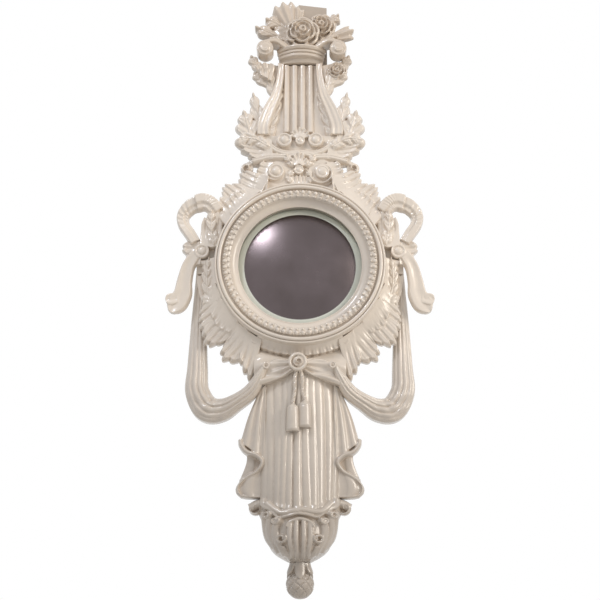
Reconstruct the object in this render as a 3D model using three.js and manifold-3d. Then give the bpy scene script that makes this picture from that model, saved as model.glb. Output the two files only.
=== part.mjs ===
// A girandole wall mirror: a convex glass in a turned, beaded ring, with carved and lacquered wood glued
// round it. A lyre crest stands above the ring, ribbon bows and cloth festoons hang at its sides, and a
// draped pendant with tassels, a leaf cup and a ball finial hangs below. Millimetres, +Z up, the front
// faces -Y. The origin is on the rear face of the crest's board, on the centreline.
import * as THREE from "three";
import { mergeVertices } from "three/addons/utils/BufferGeometryUtils.js";
import Module from "manifold-3d";

const wasm = await Module();
wasm.setup();

// ---------------------------------------------------------------- driving sizes
// Pieces are drawn face on: x to the right, y up and z forward from the rear face of the boards.
// The ring is drawn about its centre. The crest is drawn from the ring's top and the pendant from its foot.
const MIRROR_DROP = 200; // the centre of the glass lies this far below the origin
const GAP = 0.3; // glue line, or clearance between neighbouring pieces

const BOARD = 22; // thickness of the ring board and of the two spine boards
const FRONT = BOARD + GAP; // where the carved pieces begin
const RING_SEGMENTS = 44;

const GLASS_RADIUS = 114.3; // a 229 mm convex glass
const GLASS_SAG = 21.5;
const GLASS_THICK = 3;
const GLASS_SEAT = 14.3; // the front edge of the glass lies this far in front of the boards
const GLASS_PLAY = 2.7; // radial, between the glass and the ring board
const RABBET = 4.8; // how far the moulding laps over the glass
const PACKING_WIDTH = 10;
const REBATE_WIDTH = 9; // ledge that the backing board lies in
const REBATE_DEPTH = 6;
const BACKING_PLAY = 1.5;
const CARCASS_RADIUS = 182;

const SIGHT_RADIUS = GLASS_RADIUS - RABBET;
const CARCASS_BORE = GLASS_RADIUS + GLASS_PLAY;
const REBATE_RADIUS = CARCASS_BORE + REBATE_WIDTH;

const LIP = 16.3; // depth of the inner edge of the moulding
const SLOPE = 20.5; // from the sight edge out to the circle of beads
const BEAD_RADIUS = SIGHT_RADIUS + SLOPE;
const BEAD_LENGTH = 13.5; // radial
const BEAD_HEIGHT = 6;
const BEAD_COUNT = 74;
const BEAD_STRIP = 1.6; // thickness left between two beads
const MOULDING_WIDTH = 22; // from the circle of beads to the outer edge
const MOULDING_HEIGHT = 49.7;
const BEAD_DROP = 6; // from the top of the moulding down to the seat of the beads
const MOULDING_RADIUS = BEAD_RADIUS + MOULDING_WIDTH;
const MOULDING_TOP = FRONT + MOULDING_HEIGHT;
const BEAD_SEAT = MOULDING_TOP - BEAD_DROP;
const SURROUND = 10; // from the moulding out to where the crest and the pendant are drawn from
const SURROUND_RADIUS = MOULDING_RADIUS + SURROUND;

const BUTTON_COUNT = 3;
const BUTTON_INSET = 16; // from the backing board's rebate out to the pivots
const BUTTON_LAP = 8; // how far a button reaches over the backing board
const BUTTON_TAIL = 8;
const BUTTON_THICK = 2;
const BUTTON_PLAY = 0.5;
const BUTTON_PIVOTS = REBATE_RADIUS + BUTTON_INSET;
const SCREW_SHANK = 2; // radius
const SCREW_HEAD = 4.2;
const SCREW_HEAD_HEIGHT = 2.4;
const SCREW_LENGTH = 16;

const HANGER_ANGLE = 33; // degrees either side of the top
const STRAP_WIDTH = 12;
const STRAP_LENGTH = 15;
const STRAP_THICK = 1.2;
const STRAP_SCREW = 9.5; // pivot to screw
const WIRE = 1.3; // radius of the D ring's wire
const WIRE_PLAY = 0.45;
const D_RADIUS = 14;
const D_STRAIGHT = 9;
const D_CORNER = 3;

const BUMPER_RADIUS = 8;
const BUMPER_THICK = 7;
const BUMPER_X = 20;

const DOWEL_RADIUS = 5;
const DOWEL_LENGTH = 40;

const CREST_LEFT = -28; // edges of the crest's board
const CREST_RIGHT = 52;
const CREST_HEIGHT = 391;
const BASE_HALF = 61.5; // half width of the block under the lyre
const LYRE_FOOT = 100;
const LYRE_HEIGHT = 152;
const LYRE_TOP = LYRE_FOOT + LYRE_HEIGHT;
const LYRE_X = -1; // the lyre's own centreline
const SOUNDBOARD = 7.4; // thickness of the board behind the strings
const STRINGS = 4;
const STRING_PITCH = 14.2;
const STRING_HALF = 5;
const CAPITAL_X = 3; // centreline of the capital and of what stands on it
const CAPITAL_HALF = 47;
const CAPITAL_HEIGHT = 28;
const CAPITAL_FOOT = LYRE_TOP + 2;
const CAPITAL_TOP = CAPITAL_FOOT + CAPITAL_HEIGHT;
const VOLUTE_RADIUS = 17.5;
const VOLUTE_OUT = 22.5; // from the capital's end to the middle of the roll
const ROSE = { x: 5, y: CAPITAL_TOP + 33, radius: 30 };

const GROUND = 7; // thickness of the leaves' own ground
const GROUND_WIDTH = 24; // how far it shows round the ring
const GROUND_RADIUS = SURROUND_RADIUS + GROUND_WIDTH;
const KNOT = { x: SURROUND_RADIUS + 14, y: 36, radius: 13 };

const PENDANT_HALF = 34; // half width of the pendant's board
const SWAG_HALF = 62; // half width of the gathered cloth
const SWAG_DROP = 42; // its lower edge at the middle, below the ring
const SWAG_SAG = 15; // how much lower the edge lies at the sides
const DRAPE_HALF = 63.5;
const DRAPE_FOOT = -252;
const DRAPE_FRONT = FRONT + 38; // highest fold
const FOLDS = 8;
const ROSETTE = { x: -3, y: -22, radius: 14, seat: FRONT + 37 };
const CUP_HALF = 69;
const CUP_DEPTH = 104;
const CUP_TOP = DRAPE_FOOT + 2;
const CUP_FOOT = CUP_TOP - CUP_DEPTH;
const AXIS_Z = FRONT + 6; // the cup and the ball stand on this axis
const BALL_RADIUS = 22.6;
const BALL_DROP = 35; // from the cup's foot to the middle of the ball

// ---------------------------------------------------------------- materials
const finish = (color, roughness, metalness = 0) =>
  new THREE.MeshStandardMaterial({ color, roughness, metalness });
const LACQUER = finish("#e2d6c8", 0.22);
const BARE_WOOD = finish("#b79468", 0.75);
const SILVERED = finish("#8b8480", 0.04, 1);
const HARDBOARD = finish("#7a5a3c", 0.85);
const BRASS = finish("#b08d4a", 0.35, 1);
const STEEL = finish("#9a9a98", 0.4, 1);
const RUBBER = finish("#3c3a38", 0.9);

// ---------------------------------------------------------------- solids
const TAU = Math.PI * 2;
const FAR = 90; // further forward than any piece, for cuts that go right through
const mix = (a, b, t) => a + (b - a) * t;
const clamp01 = (t) => Math.min(1, Math.max(0, t));
const smooth = (t) => clamp01(t) ** 2 * (3 - 2 * clamp01(t));
const steps = (count, make) => Array.from({ length: count + 1 }, (_, i) => make(i / count, i));
const polar = (degrees, radius) => {
  const a = (degrees * Math.PI) / 180;
  return [radius * Math.cos(a), radius * Math.sin(a)];
};

// A closed solid from points and triangles, with its faces turned outwards.
function shell(points, triangles) {
  const vertProperties = new Float32Array(points.flat());
  const make = (faces) => {
    const triVerts = new Uint32Array(faces.flat());
    return new wasm.Manifold(new wasm.Mesh({ numProp: 3, vertProperties, triVerts }));
  };
  const made = make(triangles);
  return made.volume() < 0 ? make(triangles.map(([a, b, c]) => [a, c, b])) : made;
}

// A three.js geometry as a solid.
function solidOf(geometry) {
  const bare = geometry.clone();
  for (const name of Object.keys(bare.attributes)) if (name !== "position") bare.deleteAttribute(name);
  const merged = mergeVertices(bare, 1e-3);
  const at = merged.getAttribute("position");
  const points = Array.from({ length: at.count }, (_, i) => [at.getX(i), at.getY(i), at.getZ(i)]);
  const faces = [];
  for (let i = 0; i < merged.index.count; i += 3) {
    const face = [0, 1, 2].map((k) => merged.index.getX(i + k));
    if (new Set(face).size === 3) faces.push(face);
  }
  return shell(points, faces);
}

const union = (solids) => solids.reduce((a, b) => a.add(b));
const mirrored = (solid) => solid.mirror([1, 0, 0]);
const bothSides = (solid) => solid.add(mirrored(solid));

// A thick sheet: a front and a back surface over the same grid, joined round the edge.
function sheet(rows, columns, front, back) {
  const points = [];
  for (const side of [front, back])
    for (let i = 0; i <= rows; i++)
      for (let j = 0; j <= columns; j++) points.push(side(i / rows, (2 * j) / columns - 1));
  const wide = columns + 1;
  const at = (i, j, side) => side * (rows + 1) * wide + i * wide + j;
  const faces = [];
  const quad = (a, b, c, d) => faces.push([a, b, c], [a, c, d]);
  for (let i = 0; i < rows; i++)
    for (let j = 0; j < columns; j++) {
      quad(at(i, j, 0), at(i, j + 1, 0), at(i + 1, j + 1, 0), at(i + 1, j, 0));
      quad(at(i, j, 1), at(i + 1, j, 1), at(i + 1, j + 1, 1), at(i, j + 1, 1));
    }
  for (let j = 0; j < columns; j++) {
    quad(at(0, j, 0), at(0, j, 1), at(0, j + 1, 1), at(0, j + 1, 0));
    quad(at(rows, j, 0), at(rows, j + 1, 0), at(rows, j + 1, 1), at(rows, j, 1));
  }
  for (let i = 0; i < rows; i++) {
    quad(at(i, 0, 0), at(i + 1, 0, 0), at(i + 1, 0, 1), at(i, 0, 1));
    quad(at(i, columns, 0), at(i, columns, 1), at(i + 1, columns, 1), at(i + 1, columns, 0));
  }
  return shell(points, faces);
}

// A tube through a row of rings of points, capped at both ends or closed into a loop.
function tube(rings, closed = false) {
  const n = rings[0].length;
  const points = rings.flat();
  const faces = [];
  const spans = closed ? rings.length : rings.length - 1;
  for (let i = 0; i < spans; i++) {
    const here = i * n;
    const next = ((i + 1) % rings.length) * n;
    for (let k = 0; k < n; k++) {
      const l = (k + 1) % n;
      faces.push([here + k, here + l, next + l], [here + k, next + l, next + k]);
    }
  }
  for (const end of closed ? [] : [0, rings.length - 1]) {
    const middle = points.length;
    points.push([0, 1, 2].map((c) => rings[end].reduce((sum, p) => sum + p[c], 0) / n));
    for (let k = 0; k < n; k++) {
      const edge = [end * n + k, end * n + ((k + 1) % n)];
      faces.push(end === 0 ? [middle, edge[1], edge[0]] : [middle, edge[0], edge[1]]);
    }
  }
  return shell(points, faces);
}

// A disc or a ring turned about the z axis from a list of [radius, z].
function turned(profile, segments = RING_SEGMENTS) {
  const closed = profile[0][0] === 0 ? profile : [...profile, profile[0]];
  const lathe = new THREE.LatheGeometry(closed.map(([r, z]) => new THREE.Vector2(r, z)), segments);
  return solidOf(lathe.rotateX(Math.PI / 2));
}

// A flat piece cut to an outline, from z = low to z = high.
function plate(outline, low, high, holes = []) {
  const shape = new THREE.Shape(outline.map(([x, y]) => new THREE.Vector2(x, y)));
  shape.holes = holes.map((hole) => new THREE.Path(hole.map(([x, y]) => new THREE.Vector2(x, y))));
  const made = new THREE.ExtrudeGeometry(shape, { depth: high - low, bevelEnabled: false });
  return solidOf(made.translate(0, 0, low));
}

const mirroredOutline = (half) => [...half, ...half.map(([x, y]) => [-x, y]).reverse()];
const arc = (x, y, radius, from, to, count) =>
  steps(count, (t) => polar(mix(from, to, t), radius)).map(([dx, dy]) => [x + dx, y + dy]);
const circle = (x, y, radius, sides) => arc(x, y, radius, 0, 360, sides).slice(0, -1);
const rod = (x, y, radius, low, high, sides = 12) => plate(circle(x, y, radius, sides), low, high);
const uprightRod = (x, radius, low, high, z) =>
  solidOf(new THREE.CylinderGeometry(radius, radius, high - low, 12).translate(x, (low + high) / 2, z));

// A smooth path through points given as [x, y, half width, base, height].
function pathOf(points) {
  const spine = new THREE.CatmullRomCurve3(points.map(([x, y]) => new THREE.Vector3(x, y, 0)));
  const column = (c) => (t) => {
    const s = clamp01(t) * (points.length - 1);
    const i = Math.min(points.length - 2, Math.floor(s));
    return mix(points[i][c], points[i + 1][c], smooth(s - i));
  };
  const at = (t) => spine.getPoint(t);
  const tangent = (t) => spine.getTangent(t);
  return { at, tangent, half: column(2), base: column(3), height: column(4) };
}

// A carved band along a path. The section is a list of [across, up], across from -1 to 1 and up from 0
// to 1. The band may begin part of the way along, at step `first`.
function band(points, section, count, first = 0) {
  const path = pathOf(points);
  const ring = (t) => {
    const p = path.at(t);
    const d = path.tangent(t);
    const place = ([across, up]) => {
      const out = across * path.half(t);
      return [p.x - d.y * out, p.y + d.x * out, path.base(t) + up * path.height(t)];
    };
    return section.map(place);
  };
  return tube(steps(count - first, (_, i) => ring((first + i) / count)));
}

const BOX = [[-1, 0], [1, 0], [1, 1], [-1, 1]];

// The room that a band takes in front of its back, for cutting its neighbours.
function bandRoom(points, count, first = 0, section = BOX) {
  const wider = points.map(([x, y, half, base]) => [x, y, half + GAP, base - GAP, FAR]);
  return band(wider, section, count, first);
}

// One acanthus leaf: a bowed midrib from root to tip, a lobed outline, a crowned front, and a back that
// lifts off the board towards the tip.
const LEAF = { bow: 0, lobes: 3, notch: 0.26, foot: 0.45, height: 16, curl: 4, lift: 6, low: FRONT };
function leaf(shape) {
  const { root, tip, half, bow, lobes, notch, foot, height, curl, lift, low } = { ...LEAF, ...shape };
  const along = [tip[0] - root[0], tip[1] - root[1]];
  const length = Math.hypot(...along);
  const side = [-along[1] / length, along[0] / length];
  const midrib = (s) => {
    const b = 4 * s * (1 - s) * bow;
    return [root[0] + along[0] * s + side[0] * b, root[1] + along[1] * s + side[1] * b];
  };
  const outline = (s) => {
    const rounded = Math.sqrt(Math.max(0.03, 1 - ((s - 0.45) / 0.56) ** 2));
    const swell = s < 0.45 ? mix(foot, 1, smooth(s / 0.45)) : rounded;
    return half * swell * (1 - notch * (0.5 - 0.5 * Math.cos(TAU * lobes * s)));
  };
  const place = (s, v, z) => {
    const [x, y] = midrib(clamp01(s + 0.1 * v * v * (1 - s)));
    const w = v * outline(s);
    return [x + side[0] * w, y + side[1] * w, z];
  };
  const crown = (s, v) => mix(0.55, 1, Math.sin(Math.PI * clamp01(s * 0.9))) * (1 - 0.35 * v * v);
  const rise = (s, v) => height * crown(s, v) + curl * s * s;
  const front = (s, v) => place(s, v, low + rise(s, v));
  const back = (s, v) => place(s, v, low + lift * smooth((s - 0.35) / 0.65));
  return sheet(3 * lobes, 2, front, back);
}

// A flower: tiers of petals, on a plug that runs back to its seat.
const PLUG = 0.66; // radius of the plug, as a share of the flower's
function flower({ x, y, radius, low, seat, high, petals = 5, tiers = 3 }) {
  const ring = (size, z, turn, wave) =>
    steps(petals * 4, (t) => {
      const r = size * (1 + wave * Math.cos(petals * t * TAU + turn));
      return [x + r * Math.cos(t * TAU), y + r * Math.sin(t * TAU), z];
    }).slice(0, -1);
  const rings = [ring(radius * PLUG, seat, 0, 0), ring(radius * PLUG, low, 0, 0)];
  const step = (high - low) / tiers;
  for (let k = 0; k < tiers; k++) {
    const size = radius * (1 - (0.72 * k) / tiers);
    const z = low + k * step;
    rings.push(ring(size, z + step * 0.35, k * Math.PI, 0.09), ring(size * 0.82, z + step, k * Math.PI, 0.05));
  }
  return tube(rings);
}

// The room in front of the boards that the moulding takes, seen from a group whose middle is at height y.
const ringRoom = (y = 0) => rod(0, y, MOULDING_RADIUS + GAP, 0, FAR, 96);
const carcassRoom = (y = 0) => rod(0, y, CARCASS_RADIUS + GAP, -1, BOARD + 1, 96);

// ---------------------------------------------------------------- boards and dowels
const dowelAt = (y, play = 0) => {
  const reach = DOWEL_LENGTH / 2 + (play ? 1 : 0);
  return uprightRod(0, DOWEL_RADIUS + play, y - reach, y + reach, BOARD / 2);
};
const JOINT_RADIUS = CARCASS_RADIUS + GAP / 2; // where the ring board meets the spine boards
const pilot = ([x, y]) => rod(x, y, SCREW_SHANK + GAP, -1, SCREW_LENGTH + 1, 8);

const buttonAngles = steps(BUTTON_COUNT - 1, (_, i) => 90 + (i * 360) / BUTTON_COUNT);
const buttonPivots = buttonAngles.map((angle) => polar(angle, BUTTON_PIVOTS));
const HANGER_PIVOTS = (REBATE_RADIUS + CARCASS_RADIUS + STRAP_SCREW) / 2;
const hangerPivot = (side) => polar(90 - side * HANGER_ANGLE, HANGER_PIVOTS);
const hangerScrew = (side) => [hangerPivot(side)[0], hangerPivot(side)[1] - STRAP_SCREW];

function ringCarcass() {
  const board = turned([
    [CARCASS_BORE, REBATE_DEPTH],
    [CARCASS_BORE, BOARD],
    [CARCASS_RADIUS, BOARD],
    [CARCASS_RADIUS, 0],
    [REBATE_RADIUS, 0],
    [REBATE_RADIUS, REBATE_DEPTH],
  ]);
  const pilots = [...buttonPivots, hangerScrew(-1), hangerScrew(1)].map(pilot);
  return board.subtract(union([...pilots, dowelAt(JOINT_RADIUS, GAP), dowelAt(-JOINT_RADIUS, GAP)]));
}

// The crest's board. Its top shows behind the roses.
function crestSpine() {
  const low = -DOWEL_LENGTH / 2;
  const corners = [[CREST_LEFT, low], [CREST_RIGHT, low], [CREST_RIGHT, CREST_HEIGHT - 7]];
  const shoulder = [[-2, CREST_HEIGHT], [-13, CREST_HEIGHT - 17], [CREST_LEFT, CREST_HEIGHT - 63]];
  const board = plate([...corners, ...shoulder], 0, BOARD);
  return board.subtract(carcassRoom(-SURROUND_RADIUS)).subtract(dowelAt(JOINT_RADIUS - SURROUND_RADIUS, GAP));
}

// The pendant's board runs down inside the cup.
const pendantOutline = (play) => {
  const half = PENDANT_HALF + play;
  const foot = DRAPE_FOOT - play;
  return mirroredOutline([[-half, DOWEL_LENGTH / 2], [-half, foot - 26], [-22 - play, foot - 64]]);
};
const pendantSpine = () => {
  const board = plate(pendantOutline(0), 0, BOARD).subtract(carcassRoom(SURROUND_RADIUS));
  return board.subtract(dowelAt(SURROUND_RADIUS - JOINT_RADIUS, GAP));
};

// ---------------------------------------------------------------- glass and what holds it
const GLASS_CURVE = (GLASS_RADIUS ** 2 + GLASS_SAG ** 2) / (2 * GLASS_SAG);
const dome = (r) => Math.sqrt(GLASS_CURVE ** 2 - r * r);
const GLASS_EDGE = FRONT + GLASS_SEAT;
const glassZ = (r) => GLASS_EDGE + dome(r) - dome(GLASS_RADIUS);
const RABBET_Z = glassZ(SIGHT_RADIUS) + GAP;

function mirrorGlass() {
  const front = steps(4, (t) => [GLASS_RADIUS * t, glassZ(GLASS_RADIUS * t)]);
  const rear = front.map(([r, z]) => [r, z - GLASS_THICK]).reverse();
  return turned([...front, ...rear], 40);
}

const BACKING_FRONT = REBATE_DEPTH - GAP;
const backingBoard = () => {
  const radius = REBATE_RADIUS - BACKING_PLAY;
  return turned([[0, GAP], [radius, GAP], [radius, BACKING_FRONT], [0, BACKING_FRONT]]);
};

const packingRing = () => {
  const outer = CARCASS_BORE - 1;
  const inner = outer - PACKING_WIDTH;
  const low = BACKING_FRONT + GAP;
  const high = GLASS_EDGE - GLASS_THICK - GAP;
  return turned([[inner, low], [inner, high], [outer, high], [outer, low]], 32);
};

// ---------------------------------------------------------------- ring
function ringMoulding() {
  const inner = BEAD_RADIUS - BEAD_LENGTH / 2 - 1;
  const outer = BEAD_RADIUS + BEAD_LENGTH / 2 + 1;
  const out = (t) => mix(outer, MOULDING_RADIUS, t);
  const down = (t) => mix(MOULDING_TOP, FRONT, t);
  return turned([
    [SIGHT_RADIUS, RABBET_Z],
    [SIGHT_RADIUS, RABBET_Z + LIP],
    [inner, BEAD_SEAT],
    [out(0.1), BEAD_SEAT],
    [out(0.2), down(0.03)],
    [out(0.4), down(0)],
    [out(0.62), down(0.05)],
    [out(0.72), down(0.17)],
    [out(0.8), down(0.21)],
    [out(0.9), down(0.22)],
    [out(1), down(0.3)],
    [out(1), FRONT],
    [CARCASS_BORE, FRONT],
    [CARCASS_BORE, RABBET_Z],
  ]);
}

// The beads are carved out of one strip: a crest for each bead and a valley between two.
function beadCourse() {
  const low = BEAD_SEAT + GAP;
  const half = BEAD_LENGTH / 2;
  const section = (top, high) => [[-half, 0], [half, 0], [half * top, high], [-half * top, high]];
  const bead = section(0.55, BEAD_STRIP + BEAD_HEIGHT);
  const valley = section(0.95, BEAD_STRIP);
  const ring = (i) => {
    const angle = (i * 180) / BEAD_COUNT;
    return (i % 2 ? valley : bead).map(([out, up]) => [...polar(angle, BEAD_RADIUS + out), low + up]);
  };
  return tube(steps(2 * BEAD_COUNT - 1, (_, i) => ring(i)), true);
}

// ---------------------------------------------------------------- fittings on the back
function turnButton(i) {
  const hold = BUTTON_INSET + BACKING_PLAY + BUTTON_LAP - BUTTON_TAIL * 0.75;
  const outline = [...arc(-hold, 0, BUTTON_TAIL * 0.75, 90, 270, 6), ...arc(0, 0, BUTTON_TAIL, -90, 90, 6)];
  const hole = circle(0, 0, SCREW_SHANK + BUTTON_PLAY, 12);
  const flat = plate(outline, -GAP - BUTTON_THICK, -GAP, [hole]);
  return flat.rotate([0, 0, buttonAngles[i]]).translate([...buttonPivots[i], 0]);
}

// A slotted pan-head screw, with its head on whatever lies on the board.
function screw([x, y], seat) {
  const head = -seat - GAP;
  const end = head - SCREW_HEAD_HEIGHT;
  const bowl = [[0, end], [SCREW_HEAD * 0.6, end], [SCREW_HEAD, mix(head, end, 0.3)], [SCREW_HEAD, head]];
  const shank = [[SCREW_SHANK, head], [SCREW_SHANK, SCREW_LENGTH - 4], [0, SCREW_LENGTH]];
  const slot = plate([[-9, -0.5], [9, -0.5], [9, 0.5], [-9, 0.5]], end - 1, end + 1);
  return turned([...bowl, ...shank], 10).subtract(slot).translate([x, y, 0]);
}

// A strap whose end is rolled round the straight bar of the D ring.
const ROLL_BORE = WIRE + WIRE_PLAY;
const ROLL_Z = -GAP - STRAP_THICK - ROLL_BORE;
function hangerStrap(side) {
  const outer = arc(0, ROLL_Z, ROLL_BORE + STRAP_THICK, 90, 390, 12);
  const inner = arc(0, ROLL_Z, ROLL_BORE, 390, 90, 12);
  const profile = [[STRAP_LENGTH, -GAP], ...outer, ...inner, [STRAP_LENGTH, -GAP - STRAP_THICK]];
  const strip = plate(profile, -STRAP_WIDTH / 2, STRAP_WIDTH / 2).rotate([90, 0, -90]);
  const hole = rod(0, -STRAP_SCREW, SCREW_SHANK + GAP, -10, 1, 10);
  return strip.subtract(hole).translate([...hangerPivot(side), 0]);
}

// The D ring's straight bar turns in the strap's roll. It hangs round the screw until a hook lifts it.
function hangerRing(side) {
  const corner = arc(D_RADIUS - D_CORNER, -D_CORNER, D_CORNER, 90, 0, 3);
  const bend = arc(0, -D_STRAIGHT, D_RADIUS, 0, -90, 6);
  const right = [[0, 0], ...corner, ...bend];
  const centre = [...right, ...right.slice(1, -1).map(([x, y]) => [-x, y]).reverse()];
  const rings = centre.map(([x, y], i) => {
    const [px, py] = centre.at(i - 1);
    const [nx, ny] = centre[(i + 1) % centre.length];
    const out = [ny - py, px - nx].map((c) => c / Math.hypot(nx - px, ny - py));
    return circle(0, 0, WIRE, 6).map(([a, b]) => [x + out[0] * a, y + out[1] * a, b]);
  });
  return tube(rings, true).translate([...hangerPivot(side), ROLL_Z]);
}

const bumper = (side) => rod(side * BUMPER_X, DRAPE_FOOT - 11, BUMPER_RADIUS, -GAP - BUMPER_THICK, -GAP, 16);

// ---------------------------------------------------------------- leaves round the ring, drawn for the left
const below = (y) => y - SURROUND_RADIUS;
function borderLeaf(angle, reach, half, extra = {}) {
  const shape = { root: polar(angle, SURROUND_RADIUS), tip: polar(angle, SURROUND_RADIUS + reach) };
  return leaf({ ...shape, half, foot: 0.8, lobes: 2, notch: 0.3, height: 15, ...extra });
}

const borderGround = (from, to) => {
  const outer = arc(0, 0, GROUND_RADIUS, from, to, 8);
  return plate([...outer, ...arc(0, 0, MOULDING_RADIUS - 2, to, from, 8)], FRONT, FRONT + GROUND);
};

// The ribbons are let into these leaves.
function borderUpper() {
  const knotRoom = rod(KNOT.x, KNOT.y, KNOT.radius * 1.12, FRONT + GROUND, FAR);
  const ribbons = union([bandRoom(LOOP_LINE, LOOP_STEPS), bandRoom(TAIL_LINE, TAIL_STEPS), knotRoom]);
  const leaves = [
    borderLeaf(127, 50, 26),
    borderLeaf(143, 40, 22),
    borderLeaf(156, 38, 20),
    borderLeaf(168, 61, 13, { lobes: 3 }),
    borderLeaf(178, 28, 15),
  ];
  return union([...leaves, borderGround(119, 183)]).subtract(ringRoom()).subtract(mirrored(ribbons));
}

function borderLower() {
  const places = [[190, 28, 19], [202, 33, 19], [212, 43, 18], [221, 57, 15]];
  const leaves = places.map(([angle, reach, half]) => borderLeaf(angle, reach, half));
  return union([...leaves, borderGround(184, 225)]).subtract(ringRoom());
}

function borderFoot() {
  const last = { root: [-SWAG_HALF - 22, below(4)], tip: [-SWAG_HALF - 25, below(-54)] };
  const lastLeaf = leaf({ ...last, half: 19, foot: 0.8, notch: 0.2, height: 18 });
  const leaves = union([borderLeaf(231.5, 63, 18, { lobes: 3 }), lastLeaf, borderGround(226.5, 242)]);
  return leaves.subtract(ringRoom()).subtract(mirrored(festoonEndRoom()));
}

// ---------------------------------------------------------------- lyre, drawn from the top of the ring
const lyreY = (t) => mix(LYRE_FOOT, LYRE_TOP, t);

// A lyre arm: a moulded strip that swells towards the foot. Its neighbours are cut back to the same line.
const ARM_LOW = FRONT + SOUNDBOARD + GAP;
const ARM_LINE = [
  [35.5, lyreY(0.993), 5, ARM_LOW, 12],
  [36.5, lyreY(0.81), 5.5, ARM_LOW, 13],
  [43.5, lyreY(0.566), 7.5, ARM_LOW, 15],
  [59, lyreY(0.33), 11, ARM_LOW, 16],
  [68.5, lyreY(0.13), 12, ARM_LOW, 16],
  [68.5, lyreY(0), 12.5, ARM_LOW, 15],
];
const ARM_STEPS = 12;
const ARM_SECTION = [[-1, 0], [1, 0], [1, 0.55], [0.55, 1], [0.1, 0.7], [-0.4, 0.95], [-1, 0.5]];
const lyreArm = () => band(ARM_LINE, ARM_SECTION, ARM_STEPS);
const armRooms = () => bothSides(bandRoom(ARM_LINE, ARM_STEPS));
const insideArm = () => bandRoom(ARM_LINE, ARM_STEPS, 0, [[-5, 0], [1, 0], [1, 1], [-5, 1]]);

// The board behind the strings, with the strings and the leaves beside them carved on it.
const panelOutline = (play) => {
  const edge = [[39, 1], [39, 0.74], [47, 0.51], [65, 0.28], [76, 0.12], [78, 0]];
  return mirroredOutline(edge.map(([x, t]) => [x + play, lyreY(t)]));
};
const panelRoom = () => plate(panelOutline(GAP), 0, FRONT + SOUNDBOARD + GAP);

function stringPanel() {
  const low = FRONT + SOUNDBOARD - 1;
  const reed = [[-1, 0], [1, 0], [1, 0.35], [0.6, 0.85], [0, 1], [-0.6, 0.85], [-1, 0.35]];
  const strings = steps(STRINGS - 1, (_, k) => {
    const x = LYRE_X + (k - (STRINGS - 1) / 2) * STRING_PITCH;
    const ends = [0.05, 0.985].map((t) => [x, lyreY(t), STRING_HALF, low, 8]);
    return band(ends, reed, 1);
  });
  const shape = { root: [50, lyreY(0.02)], tip: [35, lyreY(0.62)], half: 10, bow: 7, notch: 0.2 };
  const inner = leaf({ ...shape, low, height: 8, curl: 2, lift: 0 });
  const board = plate(panelOutline(0), FRONT, FRONT + SOUNDBOARD);
  return union([board, ...strings, bothSides(inner)]).subtract(armRooms());
}

// The block under the lyre, with two rows of round bosses, two palmettes and the crossing stems.
const baseOutline = (play) => {
  const half = BASE_HALF + play;
  const top = LYRE_FOOT - GAP + play;
  return mirroredOutline([[-half, -SURROUND - 16], [-half, 66], [-half - 19, 86], [-half - 19, top]]);
};

function lyreBase() {
  const boss = (x, y, radius, high) => {
    const ring = ([share, z]) => circle(x, y, radius * share, 10).map(([a, b]) => [a, b, FRONT + z]);
    return tube([[1, 0], [1, high - 4], [0.8, high], [0.6, high - 2], [0.3, high + 1]].map(ring));
  };
  const stem = (x0, y0, x1, y1) => {
    const middle = [(x0 + x1) / 2, (y0 + y1) / 2 + 5, 7, FRONT, 22];
    const ridged = [[-1, 0], [1, 0], [0.8, 0.8], [0, 1], [-0.8, 0.8]];
    return band([[x0, y0, 8, FRONT, 16], middle, [x1, y1, 8, FRONT, 16]], ridged, 6);
  };
  const palmette = (y, radius) => {
    const depth = { low: FRONT + 6, seat: FRONT, high: FRONT + 14 };
    return flower({ x: LYRE_X, y, radius, ...depth, petals: 7, tiers: 1 });
  };
  const upper = LYRE_FOOT - 14;
  const lower = 25;
  const bosses = [
    boss(-31, upper, 14, 26), boss(LYRE_X, upper, 9, 24), boss(30, upper, 14, 26),
    boss(-45, lower, 15, 24), boss(LYRE_X, lower, 9, 22), boss(44, lower, 16, 24),
  ];
  const territory = plate(baseOutline(0), FRONT, FRONT + 32);
  const stems = [stem(-58, 43, 6, 64), stem(58, 43, -6, 64)];
  const carving = union([...bosses, ...stems, palmette(upper + 2, 17), palmette(lower + 19, 19)]);
  const block = plate(baseOutline(0), FRONT, FRONT + 9).add(carving.intersect(territory));
  return block.subtract(ringRoom(-SURROUND_RADIUS));
}

// The big acanthus that sweeps out beside the lyre's foot, drawn for the right side.
function crestAcanthus() {
  const outer = [[96, 32], [98, 44], [86, 56], [106, 76], [104, 88], [94, 96], [97, 122], [86, 130]];
  const ground = [[60, 30], ...outer, [84, 162], [76, 138]];
  const made = union([
    leaf({ root: [76, 106], tip: [88, 187], half: 9.5, bow: -5, height: 14 }),
    leaf({ root: [80, 88], tip: [106, 147], half: 14, bow: -4, height: 18 }),
    leaf({ root: [62, 64], tip: [120, 88], half: 19, bow: 4, height: 20 }),
    leaf({ root: [56, 42], tip: [111, 36], half: 12, bow: 6, height: 16 }),
    plate(ground, FRONT, FRONT + 9),
  ]);
  const rooms = [plate(baseOutline(GAP), 0, FAR), panelRoom(), insideArm(), ringRoom(-SURROUND_RADIUS)];
  return made.subtract(union(rooms));
}

// A small rose on the outside of a lyre arm, with its leaf running down to the arm.
function armRosette() {
  const y = LYRE_TOP - 18;
  const low = ARM_LOW;
  const small = { low, lift: 2, lobes: 2 };
  return union([
    flower({ x: 72, y, radius: 17.5, low: low + 10, seat: low, high: low + 22, tiers: 2 }),
    leaf({ root: [80, y + 6], tip: [94, y + 32], half: 8, height: 9, ...small }),
    leaf({ root: [78, y - 6], tip: [93, y - 30], half: 7, height: 8, ...small }),
    leaf({ root: [75, y + 2], tip: [46, y - 54], half: 13, bow: 4, height: 13, ...small, lift: 0 }),
  ]).subtract(insideArm());
}

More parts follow.
